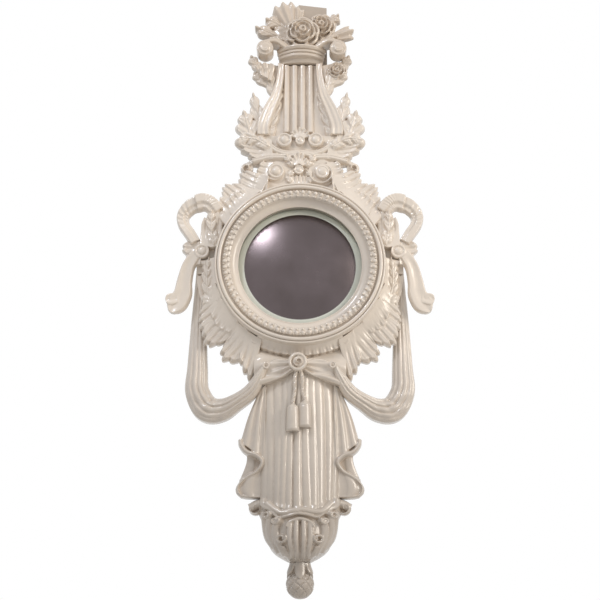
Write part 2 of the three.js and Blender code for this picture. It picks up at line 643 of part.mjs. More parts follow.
// The capital over the strings: a bowed bar with three mouldings.
function capital() {
  const levels = [[0, 0.9, 0.72], [0.14, 0.93, 0.9], [0.43, 0.95, 0.84], [0.71, 1, 1], [1, 1, 0.94]];
  const ring = ([t, wide, deep]) => {
    const half = CAPITAL_HALF * wide;
    const y = mix(CAPITAL_FOOT, CAPITAL_TOP, t);
    const bow = steps(8, (s) => [mix(-half, half, s), y, FRONT + deep * (18 + 80 * s * (1 - s))]);
    return [...bow, [half, y, FRONT], [-half, y, FRONT]];
  };
  return tube(levels.map(ring)).translate([CAPITAL_X, 0, 0]);
}

// A volute is a scroll that springs from the capital and ends in a roll with a button on its front.
function volute() {
  const x = CAPITAL_HALF + VOLUTE_OUT;
  const ring = ([share, z]) => {
    const edge = circle(x, CAPITAL_TOP - 8, VOLUTE_RADIUS * share, 18);
    return edge.map(([a, b]) => [a, b, FRONT + z]);
  };
  const roll = [[0.9, -8], [1, -4], [1, 32], [0.86, 34.5]];
  const button = [[0.63, 35], [0.63, 40], [0.46, 42]];
  const scroll = [
    [x - 36, CAPITAL_TOP + 5.6, 5, FRONT, 26],
    [x - 20, CAPITAL_TOP + 7, 5.3, FRONT, 28],
    [x - 4, CAPITAL_TOP + 3, 6, FRONT, 28],
  ];
  const stem = band(scroll, [[-1, 0], [1, 0], [1, 0.9], [0, 1], [-1, 0.9]], 5);
  return tube([...roll, ...button].map(ring)).add(stem);
}

// ---------------------------------------------------------------- flowers and leaves on the capital
const rose = () => flower({ ...ROSE, low: FRONT + 24, seat: FRONT, high: FRONT + 54 });
const roseRoom = () => {
  const around = (radius, low) => rod(ROSE.x, ROSE.y, radius, low, FAR, 20);
  return around(ROSE.radius * PLUG + GAP, 0).add(around(ROSE.radius * 1.12, FRONT + 23));
};

// Each side is one carved spray behind the rose, standing on the capital.
function crestFoliageLeft() {
  const at = (x, y) => [x, CAPITAL_TOP + y];
  return union([
    leaf({ root: at(-12, 30), tip: at(-66, 69), half: 13, bow: -3, height: 17 }),
    leaf({ root: at(-14, 14), tip: at(-84, 50), half: 12, bow: 6, height: 16 }),
    leaf({ root: at(-6, 42), tip: at(-42, 102), half: 15, foot: 0.5, lobes: 2, notch: 0.12, height: 22 }),
    plate([at(-30, 2), at(-4, 2), at(0, 76), at(-24, 76)], FRONT, FRONT + 10),
  ]).subtract(roseRoom());
}

function crestFoliageRight() {
  const at = (x, y) => [x, CAPITAL_TOP + y];
  const depth = { low: FRONT + 12, seat: FRONT, high: FRONT + 32 };
  return union([
    flower({ x: 41, y: CAPITAL_TOP + 53, radius: 24, ...depth, tiers: 2 }),
    leaf({ root: at(36, 42), tip: at(72, 80), half: 11, bow: 4, height: 17 }),
    leaf({ root: at(30, 20), tip: at(103, 54), half: 13, bow: -5, height: 17 }),
    plate([at(14, 2), at(34, 2), at(34, 14), at(50, 18), at(50, 66), at(18, 76)], FRONT, FRONT + 10),
  ]).subtract(roseRoom());
}

// ---------------------------------------------------------------- ribbons and festoons, drawn for the right
const RIBBON = [[-1, 0.1], [-0.9, 0.55], [0, 1], [0.9, 0.55], [1, 0.1], [0.6, 0], [-0.6, 0]];
const RIBBON_BED = FRONT + GROUND + GAP; // the ribbons lie on the leaves' ground
const beside = (x) => SURROUND_RADIUS + x;

const LOOP_LINE = [
  [beside(-16), 106, 11, RIBBON_BED, 19],
  [beside(2), 130, 12, RIBBON_BED, 20],
  [beside(19), 138, 11, FRONT + 6, 20],
  [beside(38), 125, 12, FRONT + 4, 20],
  [beside(52), 104, 11, FRONT + 2, 20],
  [beside(49), 84, 10, FRONT + 3, 19],
  [beside(37), 64, 10, FRONT + 6, 18],
  [beside(23), 45, 9, RIBBON_BED, 16],
];
const LOOP_STEPS = 18;
const ribbonLoop = () => band(LOOP_LINE, RIBBON, LOOP_STEPS).subtract(ringRoom());

const TAIL_LINE = [
  [beside(16), 40, 9, RIBBON_BED, 16],
  [beside(35), 14, 11, FRONT + 6, 16],
  [beside(43), -12, 14, FRONT + 6, 15],
  [beside(46), -38, 16, FRONT + 5, 15],
  [beside(57), -60, 19, FRONT + 5, 14],
  [beside(68), -76, 16, FRONT + 6, 13],
  [beside(74), -86, 9, FRONT + 7, 11],
];
const TAIL_STEPS = 14;

// The knot and the ribbon's falling end are one piece.
function ribbonTail() {
  const curl = [
    [beside(54), -48, 9, FRONT + 5, 13],
    [beside(68), -56, 9, FRONT + 5, 14],
    [beside(78), -60, 6, FRONT + 6, 12],
  ];
  const knot = flower({ ...KNOT, low: FRONT + 22, seat: RIBBON_BED, high: FRONT + 36, petals: 3, tiers: 2 });
  const made = union([band(TAIL_LINE, RIBBON, TAIL_STEPS), band(curl, RIBBON, 4), knot]);
  return made.subtract(bandRoom(LOOP_LINE, LOOP_STEPS)).subtract(ringRoom());
}

// The festoon hangs from behind the leaves, and its end comes forward to the pin beside the gathered cloth.
const FESTOON_BACK = 3;
const FESTOON_LINE = [
  [beside(14), 26, 10, FESTOON_BACK, 17],
  [beside(17), -40, 11, FESTOON_BACK, 18],
  [beside(18), -100, 14, FESTOON_BACK, 18],
  [beside(18), below(-18), 18, FESTOON_BACK, 26],
  [beside(16), below(-60), 20, FESTOON_BACK + 1, 30],
  [beside(-1), below(-92), 23, FESTOON_BACK + 2, 32],
  [SWAG_HALF + 74, below(-95), 19, FESTOON_BACK + 6, 32],
  [SWAG_HALF + 48, below(-84), 14, FRONT - 2, 27],
  [SWAG_HALF + 26, below(-68), 12, FRONT + 7, 24],
  [SWAG_HALF + 11, below(-46), 11, FRONT + 13, 20],
  [SWAG_HALF + 2, below(-24), 9, FRONT + 16, 16],
];
const FESTOON_STEPS = 20;
const festoonEndRoom = () => bandRoom(FESTOON_LINE, FESTOON_STEPS, 12);
const festoonEndsBelow = () => bothSides(festoonEndRoom()).translate([0, SURROUND_RADIUS, 0]);

function festoon() {
  const grooves = [[-0.5, 0.95], [-0.15, 0.72], [0.25, 1], [0.6, 0.7]];
  const section = [[-1, 0.1], [-0.92, 0.6], ...grooves, [0.92, 0.75], [1, 0.1], [0, 0]];
  return band(FESTOON_LINE, section, FESTOON_STEPS).subtract(carcassRoom());
}

// ---------------------------------------------------------------- pendant, drawn from the foot of the ring
// Lower edge of the gathered cloth, which the drapery hangs from.
const swagEdge = (x) => -SWAG_DROP - SWAG_SAG * Math.abs(x / SWAG_HALF) ** 1.3;

function swag() {
  const top = (x) => SURROUND_RADIUS - Math.sqrt((MOULDING_RADIUS + GAP) ** 2 - x * x) - GAP;
  const at = (u, v, z) => [v * SWAG_HALF, mix(top(v * SWAG_HALF), swagEdge(v * SWAG_HALF), u), z];
  const rise = (u, v) => 34 - 14 * Math.abs(v) ** 1.5 + 6 * Math.sin(Math.PI * u) + 2.5 * Math.cos(2 * TAU * u);
  const cloth = sheet(6, 10, (u, v) => at(u, v, FRONT + rise(u, v)), (u, v) => at(u, v, FRONT));
  const plugRoom = rod(ROSETTE.x, ROSETTE.y, ROSETTE.radius * PLUG + GAP, ROSETTE.seat - GAP, FAR, 20);
  return cloth.subtract(plugRoom).subtract(festoonEndsBelow());
}

const SWAG_FRONT = FRONT + 44; // clear of the highest fold of the gathered cloth
const rosette = () => flower({ ...ROSETTE, low: SWAG_FRONT + 2, high: SWAG_FRONT + 12, tiers: 2 });

const drapeFoot = (v) => DRAPE_FOOT - 12 * (1 - v * v);

function drapePanel() {
  const at = (u, v, z) => {
    const x = v * (DRAPE_HALF - 3 + 3 * u);
    return [x, mix(swagEdge(x) - GAP, drapeFoot(v), u), z];
  };
  const fold = (u, v) => 4.5 * Math.cos(Math.PI * FOLDS * v) * smooth(u * 3 + 0.25);
  const front = (u, v) => at(u, v, DRAPE_FRONT - 5 - 20 * v * v + fold(u, v));
  return sheet(4, 4 * FOLDS, front, (u, v) => at(u, v, FRONT)).subtract(festoonEndsBelow());
}

// Folded cloth at the side of the drapery, the upper fold over the lower. Points are [out from the drapery,
// share of the way down].
function cascade() {
  const at = ([out, t]) => [DRAPE_HALF + GAP + out, mix(swagEdge(SWAG_HALF), DRAPE_FOOT, t)];
  const upperHem = [[14, 0.087], [26, 0.313], [38, 0.482], [35, 0.528], [20, 0.569], [8, 0.62]];
  const lowerHem = [[20, 0.55], [29, 0.59], [33, 0.7], [44, 0.867], [43, 0.928], [35, 0.964], [14, 0.985]];
  const upper = [[0, 0.015], ...upperHem, [0, 0.65]];
  const lower = [[0, 0.6], ...lowerHem, [0, 0.995]];
  const cloth = plate(upper.map(at), FRONT, FRONT + 23).add(plate(lower.map(at), FRONT, FRONT + 15));
  return cloth.subtract(festoonEndsBelow());
}

// A tassel: cord, moulded head and flared skirt, lying on a fold of the drapery.
function tassel(x, top, foot, low) {
  const outline = [[-1, 0], [1, 0], [1, 0.45], [0.6, 0.9], [0, 1], [-0.6, 0.9], [-1, 0.45]];
  const ring = ([y, half, base, depth]) => outline.map(([a, b]) => [x + a * half, y, base + b * depth]);
  const over = SWAG_FRONT - 3;
  const cord = [[ROSETTE.y - 9, 3, over, 5], [-60, 3, over, 5], [-70, 3, low + 1, 5], [top + 1, 3, low, 6]];
  const skirt = [[top, 7, low, 11], [top - 8, 8.5, low, 12], [top - 12, 8, low, 11], [foot, 11, low, 13]];
  return tube([...cord, ...skirt].map(ring));
}

// The cup that gathers the foot of the drapery: half round and fluted, with a scroll at each side.
function cup() {
  const belly = [[0, 1], [0.17, 0.985], [0.365, 0.906], [0.56, 0.826], [0.72, 0.725]];
  const outline = [...belly, [0.85, 0.594], [0.92, 0.45], [0.97, 0.32], [1, 0.23]];
  const rings = outline.map(([t, share]) => {
    const half = CUP_HALF * share;
    const deep = mix(0.5, 1, smooth(t));
    return circle(0, 0, 1, 32).map(([c, s], k) => {
      const flute = half * (1 + 0.035 * Math.cos((k * TAU) / 4) * (1 - t));
      return [flute * c, CUP_TOP - t * CUP_DEPTH, AXIS_Z + deep * flute * s];
    });
  });
  const rear = [[-FAR, CUP_FOOT - FAR], [FAR, CUP_FOOT - FAR], [FAR, CUP_TOP + FAR], [-FAR, CUP_TOP + FAR]];
  const ear = rod(CUP_HALF + 5, CUP_TOP - 16, 11, FRONT - 4, FRONT + 22, 14);
  const hem = steps(4 * FOLDS, (t) => mix(-1, 1, t)).map((v) => [v * DRAPE_HALF, drapeFoot(v) - GAP]);
  const above = plate([[FAR, DRAPE_FOOT - 2], [FAR, 0], [-FAR, 0], [-FAR, DRAPE_FOOT - 2], ...hem], -1, FAR);
  const rooms = union([plate(rear, -FAR, 1), plate(pendantOutline(GAP), -1, FRONT), above]);
  return tube(rings).add(bothSides(ear)).subtract(rooms);
}

function finial() {
  const neck = [[0, 0], [15, 0], [17.5, 6], [18.5, 14], [17, 18]];
  const ball = arc(0, BALL_DROP, BALL_RADIUS, -55, 90, 10);
  const profile = [...neck, ...ball.slice(0, -1), [0, BALL_DROP + BALL_RADIUS]];
  const lathe = new THREE.LatheGeometry(profile.map(([r, y]) => new THREE.Vector2(r, y)), 18);
  return solidOf(lathe.rotateX(Math.PI).translate(0, CUP_FOOT - GAP, AXIS_Z));
}

// ---------------------------------------------------------------- assembly
const part = new THREE.Group();
part.rotation.x = Math.PI / 2;
part.position.z = -MIRROR_DROP;
const groupAt = (y) => {
  const group = new THREE.Group();
  group.position.y = y;
  part.add(group);
  return group;
};
const ring = groupAt(0);
const crest = groupAt(SURROUND_RADIUS);
const pendant = groupAt(-SURROUND_RADIUS);

function add(group, name, solid, material) {
  const { vertProperties, triVerts, numProp, numVert } = solid.getMesh();
  const position = new Float32Array(numVert * 3);
  for (let i = 0; i < numVert; i++) position.set(vertProperties.subarray(i * numProp, i * numProp + 3), i * 3);
  const geometry = new THREE.BufferGeometry();
  geometry.setAttribute("position", new THREE.BufferAttribute(position, 3));
  geometry.setIndex(new THREE.BufferAttribute(triVerts, 1));
  const mesh = new THREE.Mesh(geometry.toNonIndexed(), material);
  mesh.geometry.computeVertexNormals();
  mesh.name = name;
  group.add(mesh);
}

// Pieces drawn for one side, and their mirror images on the other.
function addRight(group, name, solid, material) {
  add(group, `${name}_right`, solid, material);
  add(group, `${name}_left`, mirrored(solid), material);
}
const addLeft = (group, name, solid, material) => addRight(group, name, mirrored(solid), material);

add(ring, "ring_carcass", ringCarcass(), BARE_WOOD);
add(crest, "crest_spine_board", crestSpine(), BARE_WOOD);
add(pendant, "pendant_spine_board", pendantSpine(), BARE_WOOD);
add(ring, "crest_dowel", dowelAt(JOINT_RADIUS), BARE_WOOD);
add(ring, "pendant_dowel", dowelAt(-JOINT_RADIUS), BARE_WOOD);

add(ring, "mirror_glass", mirrorGlass(), SILVERED);
add(ring, "packing_ring", packingRing(), HARDBOARD);
add(ring, "backing_board", backingBoard(), HARDBOARD);
buttonPivots.forEach((pivot, i) => {
  add(ring, `turn_button_${i + 1}`, turnButton(i), BRASS);
  add(ring, `turn_button_screw_${i + 1}`, screw(pivot, BUTTON_THICK + GAP), STEEL);
});
for (const [name, side] of [["left", -1], ["right", 1]]) {
  add(ring, `hanger_strap_${name}`, hangerStrap(side), STEEL);
  add(ring, `hanger_ring_${name}`, hangerRing(side), STEEL);
  add(ring, `hanger_screw_${name}`, screw(hangerScrew(side), STRAP_THICK + GAP), STEEL);
  add(pendant, `wall_bumper_${name}`, bumper(side), RUBBER);
}

add(ring, "ring_moulding", ringMoulding(), LACQUER);
add(ring, "bead_course", beadCourse(), LACQUER);
addLeft(ring, "border_leaves_upper", borderUpper(), LACQUER);
addLeft(ring, "border_leaves_lower", borderLower(), LACQUER);
addLeft(ring, "border_leaves_foot", borderFoot(), LACQUER);

add(crest, "lyre_string_panel", stringPanel(), LACQUER);
addRight(crest, "lyre_arm", lyreArm(), LACQUER);
add(crest, "lyre_base", lyreBase(), LACQUER);
addRight(crest, "crest_acanthus", crestAcanthus(), LACQUER);
addRight(crest, "arm_rosette", armRosette(), LACQUER);
add(crest, "lyre_capital", capital(), LACQUER);
add(crest, "volute_right", volute().translate([CAPITAL_X, 0, 0]), LACQUER);
add(crest, "volute_left", mirrored(volute()).translate([CAPITAL_X, 0, 0]), LACQUER);
add(crest, "crest_rose", rose(), LACQUER);
add(crest, "crest_foliage_left", crestFoliageLeft(), LACQUER);
add(crest, "crest_foliage_right", crestFoliageRight(), LACQUER);

addRight(ring, "ribbon_loop", ribbonLoop(), LACQUER);
addRight(ring, "ribbon_tail", ribbonTail(), LACQUER);
addRight(ring, "festoon", festoon(), LACQUER);

add(pendant, "pendant_swag", swag(), LACQUER);
add(pendant, "pendant_drapery", drapePanel(), LACQUER);
addRight(pendant, "drapery_cascade", cascade(), LACQUER);
add(pendant, "pendant_rosette", rosette(), LACQUER);
add(pendant, "tassel_left", tassel(-14, -95, -142, DRAPE_FRONT - 1.3), LACQUER);
add(pendant, "tassel_right", tassel(9.5, -91, -134, DRAPE_FRONT - 0.2), LACQUER);
add(pendant, "leaf_cup", cup(), LACQUER);
add(pendant, "ball_finial", finial(), LACQUER);

export default part;
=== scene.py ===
# %% [markdown]
# # A girandole mirror in cream lacquer
# The real mirror is carved wood, glued to flat boards and coated with thick glossy lacquer, round a convex
# glass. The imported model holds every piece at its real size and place. Here each carved piece is modelled
# again with its carving, in the same place, and the plain solid that it stands for is hidden.

import math

import bmesh
import bpy
import numpy as np
from mathutils import Matrix, Vector


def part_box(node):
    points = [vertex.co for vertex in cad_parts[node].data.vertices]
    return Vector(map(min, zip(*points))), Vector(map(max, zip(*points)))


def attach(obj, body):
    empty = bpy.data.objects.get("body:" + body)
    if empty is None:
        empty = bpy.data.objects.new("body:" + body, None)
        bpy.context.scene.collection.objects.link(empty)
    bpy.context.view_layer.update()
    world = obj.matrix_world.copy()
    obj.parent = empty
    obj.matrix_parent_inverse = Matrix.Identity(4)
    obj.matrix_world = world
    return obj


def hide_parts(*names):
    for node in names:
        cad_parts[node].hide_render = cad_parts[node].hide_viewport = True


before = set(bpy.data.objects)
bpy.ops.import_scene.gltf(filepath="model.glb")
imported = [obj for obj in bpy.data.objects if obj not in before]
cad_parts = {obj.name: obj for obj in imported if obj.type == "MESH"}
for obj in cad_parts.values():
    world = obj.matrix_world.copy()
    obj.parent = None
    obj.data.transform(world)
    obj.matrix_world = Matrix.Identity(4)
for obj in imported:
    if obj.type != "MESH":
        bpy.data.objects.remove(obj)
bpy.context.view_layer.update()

# %% [markdown]
# ## Working face on
# A carver draws on the face of the board. So every piece is drawn in millimetres with x to the right, y up
# from the centre of the glass and z forward from the back of the boards, and one matrix lays the drawing on
# the wall. The ring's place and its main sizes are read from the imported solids, so nothing can drift.

# %% Face coordinates
MM = 0.001


def solid_box(name):
    low, high = (Vector(corner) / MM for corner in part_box(name))
    return low, high


ring_low, ring_high = solid_box("ring_moulding")
GLASS_HEIGHT = (ring_low.z + ring_high.z) / 2
FACE = Matrix(((MM, 0, 0, 0), (0, 0, -MM, 0), (0, MM, 0, GLASS_HEIGHT * MM), (0, 0, 0, 1)))

RING = (ring_high.x - ring_low.x) / 2  # outer radius of the moulding
SURROUND = RING + 10  # the crest and the pendant are drawn from this circle's top and foot
FRONT = -ring_high.y  # the carved pieces begin here
TOP = -ring_low.y  # highest part of the moulding
SIGHT = 109.5  # radius of the opening over the glass
BEADS = 130  # radius of the circle of beads
print("ring radius", round(RING, 1), "front", round(FRONT, 1), "top", round(TOP, 1))

# %% Small sums
TAU = math.tau


def mix(a, b, t):
    return a + (b - a) * t


def clamp(t):
    return min(1.0, max(0.0, t))


def ease(t):
    t = clamp(t)
    return t * t * (3 - 2 * t)


def hump(t, centre, width):
    return math.exp(-(((t - centre) / width) ** 2))


def polar(degrees, radius):
    angle = math.radians(degrees)
    return radius * math.cos(angle), radius * math.sin(angle)


# %% [markdown]
# ## One way to carve
# Leaves, ribbons, cloth and scrolls are all sheets of wood with a shaped front. A grid is the natural start:
# it is extruded once to give it a back, and then every vertex is moved to where the carving puts it, from
# how far across, along and up it is. Sculpting by hand would not repeat, and curves with a bevel can't give
# lobes and folds.

# %% The slab
def slab(columns, rows, place):
    """A closed sheet. place(across, along, up) gives a point: across -1 to 1, along 0 to 1, up 0 or 1."""
    bm = bmesh.new()
    bmesh.ops.create_grid(bm, x_segments=columns, y_segments=rows, size=1)
    grown = bmesh.ops.extrude_face_region(bm, geom=bm.faces[:], use_keep_orig=True)
    front = [item for item in grown["geom"] if isinstance(item, bmesh.types.BMVert)]
    bmesh.ops.translate(bm, verts=front, vec=(0, 0, 1))
    for vert in bm.verts:
        across, along, up = vert.co
        vert.co = place(across, (along + 1) / 2, up)
    bmesh.ops.recalc_face_normals(bm, faces=bm.faces[:])
    return bm


# %% [markdown]
# Flat pieces, such as the board behind the strings, are cut to an outline, and turned pieces, such as the
# ring and the ball's neck, are spun from a profile, as they are on a bandsaw and on a lathe.

# %% Plates, turned pieces and balls
def plate(outline, low, high):
    bm = bmesh.new()
    face = bm.faces.new([bm.verts.new((x, y, low)) for x, y in outline])
    grown = bmesh.ops.extrude_face_region(bm, geom=[face], use_keep_orig=True)
    front = [item for item in grown["geom"] if isinstance(item, bmesh.types.BMVert)]
    bmesh.ops.translate(bm, verts=front, vec=(0, 0, high - low))
    bmesh.ops.triangulate(bm, faces=bm.faces[:])
    bmesh.ops.recalc_face_normals(bm, faces=bm.faces[:])
    return bm


def turned(profile, steps=48, centre=(0, 0, 0), axis=(0, 0, 1), closed=False):
    """Spins a profile of (radius, height) about an axis through centre: forward for z, upward for y."""
    bm = bmesh.new()
    upright = axis == (0, 1, 0)
    verts = [bm.verts.new((r, h, 0) if upright else (r, 0, h)) for r, h in profile]
    ends = [(verts[-1], verts[0])] if closed else []
    edges = [bm.edges.new(pair) for pair in list(zip(verts, verts[1:])) + ends]
    bmesh.ops.spin(
        bm, geom=verts + edges, axis=axis, cent=(0, 0, 0), angle=TAU, steps=steps, use_merge=True
    )
    bmesh.ops.remove_doubles(bm, verts=bm.verts[:], dist=1e-4)
    bmesh.ops.recalc_face_normals(bm, faces=bm.faces[:])
    bmesh.ops.translate(bm, verts=bm.verts[:], vec=centre)
    return bm


def ball(x, y, z, radius, squash=(1, 1, 1)):
    bm = bmesh.new()
    bmesh.ops.create_uvsphere(bm, u_segments=20, v_segments=12, radius=radius)
    bmesh.ops.scale(bm, verts=bm.verts[:], vec=squash)
    bmesh.ops.translate(bm, verts=bm.verts[:], vec=(x, y, z))
    return bm


# %% [markdown]
# ## Bands
# A ribbon, a festoon or a scroll's stem follows a line. The line is a smooth curve through a few points, each
# with a half width, a seat and a height. What the band's face looks like is given by a function of how far
# across and along a point is, from 0 at the seat to 1 at the full height.

# %% Smooth lines and bands
def smooth_line(points):
    """A Catmull-Rom curve through points that hold any number of values."""
    count = len(points) - 1
    inner = [np.array(point, dtype=float) for point in points]
    rows = [2 * inner[0] - inner[1], *inner, 2 * inner[-1] - inner[-2]]

    def at(t):
        s = clamp(t) * count
        i = min(count - 1, int(s))
        u = s - i
        a, b, c, d = rows[i : i + 4]
        return b + 0.5 * u * ((c - a) + u * ((2 * a - 5 * b + 4 * c - d) + u * (3 * b - a - 3 * c + d)))

    return at


def beside(line, t, out):
    """The point at t on a line, moved out to the left of its run."""
    here, ahead, behind = line(t), line(min(1, t + 0.005)), line(max(0, t - 0.005))
    dx, dy = ahead[0] - behind[0], ahead[1] - behind[1]
    size = math.hypot(dx, dy) or 1
    return here[0] - dy / size * out, here[1] + dx / size * out


def band(points, face, columns=16, rows=60, taper=None):
    """points are (x, y, half width, seat, height); face(across, along) is the share of the height."""
    line = smooth_line(points)

    def place(across, along, up):
        _, _, half, seat, height = line(along)
        width = half * (taper(along) if taper else 1)
        x, y = beside(line, along, across * width)
        return x, y, seat + (height * face(across, along) if up else 0)

    return slab(columns, rows, place)


def rounded(across, along):
    return 0.15 + 0.85 * math.sqrt(max(0, 1 - across * across * 0.98))


# %% [markdown]
# ## Fingers, fans and leaves
# Nearly everything round the ring is acanthus. A carver outlines such a leaf as a row of lobes, cuts a groove
# from each notch down towards the midrib and rolls the tips forward. So a leaf is one sheet with a lobed
# edge and grooves that follow its veins. A fan does the same from a base line to an edge line, for the leaves
# that grow out from under the moulding. A finger is a single stroke.

# %% Fingers and fans
def finger_end(along):
    return math.sqrt(max(0.02, 1 - max(0.0, (along - 0.7) / 0.306) ** 2))


def finger_face(across, along):
    dome = math.sqrt(max(0.0, 1 - across * across * 0.97))
    return (0.3 + 0.7 * dome) * mix(1, 0.85, ease(along * 4 - 3))


def finger(start, middle, end, halves, low, heights):
    """A single stroke through three places, with a half width and a height at each."""
    stops = [(*at, half, low, high) for at, half, high in zip((start, middle, end), halves, heights)]
    return band(stops, finger_face, 8, 14, finger_end)


def from_vein(t, count):
    """0 on a lobe's vein and 1 at the notches beside it, for t from 0 to 1 along a row of lobes."""
    return abs(2 * (t * count % 1) - 1)


def vein_cut(aside):
    """The groove at a notch and the fine line along a vein, as a share of the full groove."""
    return ease((aside - 0.4) / 0.6) + 0.3 * hump(aside, 0, 0.14)


def fan(base, edge, count, height=15, low=None, lift=4, notch=0.15, groove=0.15, heel=0):
    """A sheet of count lobes between two lines. heel is how much higher it stands at its base."""
    low = FRONT if low is None else low
    base_at, edge_at = smooth_line(base), smooth_line(edge)

    def place(across, along, up):
        t = (across + 1) / 2
        aside = from_vein(t, count)
        reach = along * (1 - notch * aside**1.7 * along * along)
        x, y = mix(base_at(t), edge_at(t), reach)[:2]
        cut = groove * vein_cut(aside) * ease(along * 1.5 - 0.2)
        roll = 0.4 * ease(along * 9 - 8)
        wave = 1 - 0.15 * math.sin(math.pi * along)
        tall = height * wave + lift * along * along + heel * (1 - along) ** 1.4
        return x, y, low + (tall * (1 - cut - roll) if up else 0)

    return [slab(round(count * 12), 18, place)]


# %% The acanthus leaf
def acanthus(spine, half, count=3, height=16, low=None, lift=4, foot=0.7, notch=0.34, groove=0.16):
    """A leaf with count lobes a side and one at its tip. The spine's points lead from root to tip."""
    low = FRONT if low is None else low
    line = smooth_line(spine)

    def place(across, along, up):
        away = abs(across)
        aside = from_vein(along, count + 0.5)
        swell = mix(foot, 1, ease(along / 0.4)) * max(0, 1 - max(0, (along - 0.35) / 0.65) ** 1.9)
        width = half * swell * (1 - notch * aside**1.6 * ease(along * 4))
        forward = along + 0.22 * away**1.4 * math.sin(math.pi * along)
        x, y = beside(line, forward, across * width)
        cut = groove * vein_cut(aside) * ease(away * 2.2)
        rib = 0.1 * hump(away, 0.16, 0.09)
        roll = 0.4 * ease(away * 7 - 6)
        dome = 1 - 0.14 * away * away
        return x, y, low + ((height + lift * along * along) * (dome - cut - rib - roll) if up else 0)

    return [slab(28, round(count * 12 + 10), place)]


# %% [markdown]
# ## From separate cuts to one carving
# A carved spray is one block of wood. Its leaves are made apart, so they are joined and remeshed into a
# single skin, and then smoothed a little: that rounds each edge, as thick coats of lacquer do. The
# voxel is about a millimetre, below what shows at this distance. A boolean union would keep every edge
# sharp and fail on touching faces.

# %% Joining, remeshing and finishing a piece
def joined(parts):
    whole = bmesh.new()
    for part in parts:
        mesh = bpy.data.meshes.new("part")
        part.to_mesh(mesh)
        part.free()
        whole.from_mesh(mesh)
        bpy.data.meshes.remove(mesh)
    return whole


def mirror(bm):
    bmesh.ops.scale(bm, verts=bm.verts[:], vec=(-1, 1, 1))
    bmesh.ops.reverse_faces(bm, faces=bm.faces[:])
    return bm


def fuse(obj, voxel, soften):
    """Applies a voxel remesh and a light smoothing."""
    remesh = obj.modifiers.new("one skin", "REMESH")
    remesh.mode = "VOXEL"
    remesh.voxel_size = voxel * MM
    smooth = obj.modifiers.new("lacquer", "SMOOTH")
    smooth.factor = 0.5
    smooth.iterations = soften
    ready = obj.evaluated_get(bpy.context.evaluated_depsgraph_get())
    mesh = bpy.data.meshes.new_from_object(ready)
    obj.modifiers.clear()
    rough = obj.data
    obj.data = mesh
    bpy.data.meshes.remove(rough)
    mesh.name = obj.name


# %% [markdown]
# Dust and old wax settle where a brush can't reach, and shade is painted into the same hollows. Each vertex
# is compared with a softened copy of the surface: where the soft copy stands in front of it, the vertex lies
# in a hollow. The depth is kept as an attribute that the lacquer's material reads, so the dirt and the
# painted shade stay with the carving from every side. Turned and drawn meshes have longer edges than
# remeshed ones, so fewer passes of softening reach as far.

# %% Hollows
FINE_PASSES = 28
COARSE_PASSES = 3
FULL_HOLLOW = 2.2  # millimetres at which a hollow gets its full dirt and painted shade


def mark_hollows(mesh, passes):
    count = len(mesh.vertices)
    place = np.empty(count * 3)
    normal = np.empty(count * 3)
    mesh.vertices.foreach_get("co", place)
    mesh.vertices.foreach_get("normal", normal)
    place, normal = place.reshape(-1, 3), normal.reshape(-1, 3)
    ends = np.empty(len(mesh.edges) * 2, dtype=np.int64)
    mesh.edges.foreach_get("vertices", ends)
    a, b = ends[0::2], ends[1::2]
    share = np.maximum(np.bincount(a, minlength=count) + np.bincount(b, minlength=count), 1)
    soft = place.copy()
    for _ in range(passes):
        for axis in range(3):
            near = np.bincount(a, soft[b, axis], count) + np.bincount(b, soft[a, axis], count)
            soft[:, axis] = near / share
    depth = ((soft - place) * normal).sum(axis=1) / MM
    layer = mesh.attributes.new("hollow", "FLOAT", "POINT")
    layer.data.foreach_set("value", np.clip(depth / FULL_HOLLOW, -1, 1).astype(np.float32))


def carve(name, parts, nodes, voxel=1.0, soften=2, finish=None, flip=False):
    """Joins the parts, lays them on the wall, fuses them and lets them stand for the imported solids."""
    bm = joined(parts)
    if flip:
        mirror(bm)
    bmesh.ops.transform(bm, matrix=FACE, verts=bm.verts[:])
    mesh = bpy.data.meshes.new(name)
    bm.to_mesh(mesh)
    bm.free()
    obj = bpy.data.objects.new(name, mesh)
    bpy.context.scene.collection.objects.link(obj)
    if voxel:
        fuse(obj, voxel, soften)
    obj.data.shade_smooth()
    mark_hollows(obj.data, FINE_PASSES if voxel else COARSE_PASSES)
    obj.data.materials.append(finish or cream_lacquer)
    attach(obj, "frame")
    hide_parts(*nodes)
    print(f"{name}: {len(obj.data.polygons)} faces")
    return obj


def carve_pair(name, make, **options):
    """make() draws the right-hand piece, and the left one is its mirror image."""
    for side in ("right", "left"):
        carve(f"carved_{name}_{side}", make(), [f"{name}_{side}"], flip=side == "left", **options)


# %% [markdown]
# ## Cream lacquer
# The finish is an alkyd lacquer brushed over gesso in many coats, warm cream, glossy, a little yellowed.
# Its colour is browner in the hollows, partly from dirt and partly as painted shade, greyer towards the foot
# as painted shade, and darker towards the crest. It is a smooth dielectric with an IOR near 1.5 under a
# clear coat. Three things keep it from looking like plastic: colour that drifts over some centimetres, brush
# marks and orange peel too shallow to see except in the highlights, and fine age cracks.

# %% Material helpers
def linear(hex_colour):
    """sRGB hex to the linear values that a shader takes."""
    parts = [int(hex_colour[i : i + 2], 16) / 255 for i in (1, 3, 5)]
    return [c / 12.92 if c <= 0.04045 else ((c + 0.055) / 1.055) ** 2.4 for c in parts] + [1]


def set_stops(elements, stops):
    """Gives a colour ramp its stops, each a place from 0 to 1 and a colour."""
    while len(elements) < len(stops):
        elements.new(0.5)
    for element, (position, colour) in zip(elements, stops):
        element.position = position
        element.color = linear(colour)


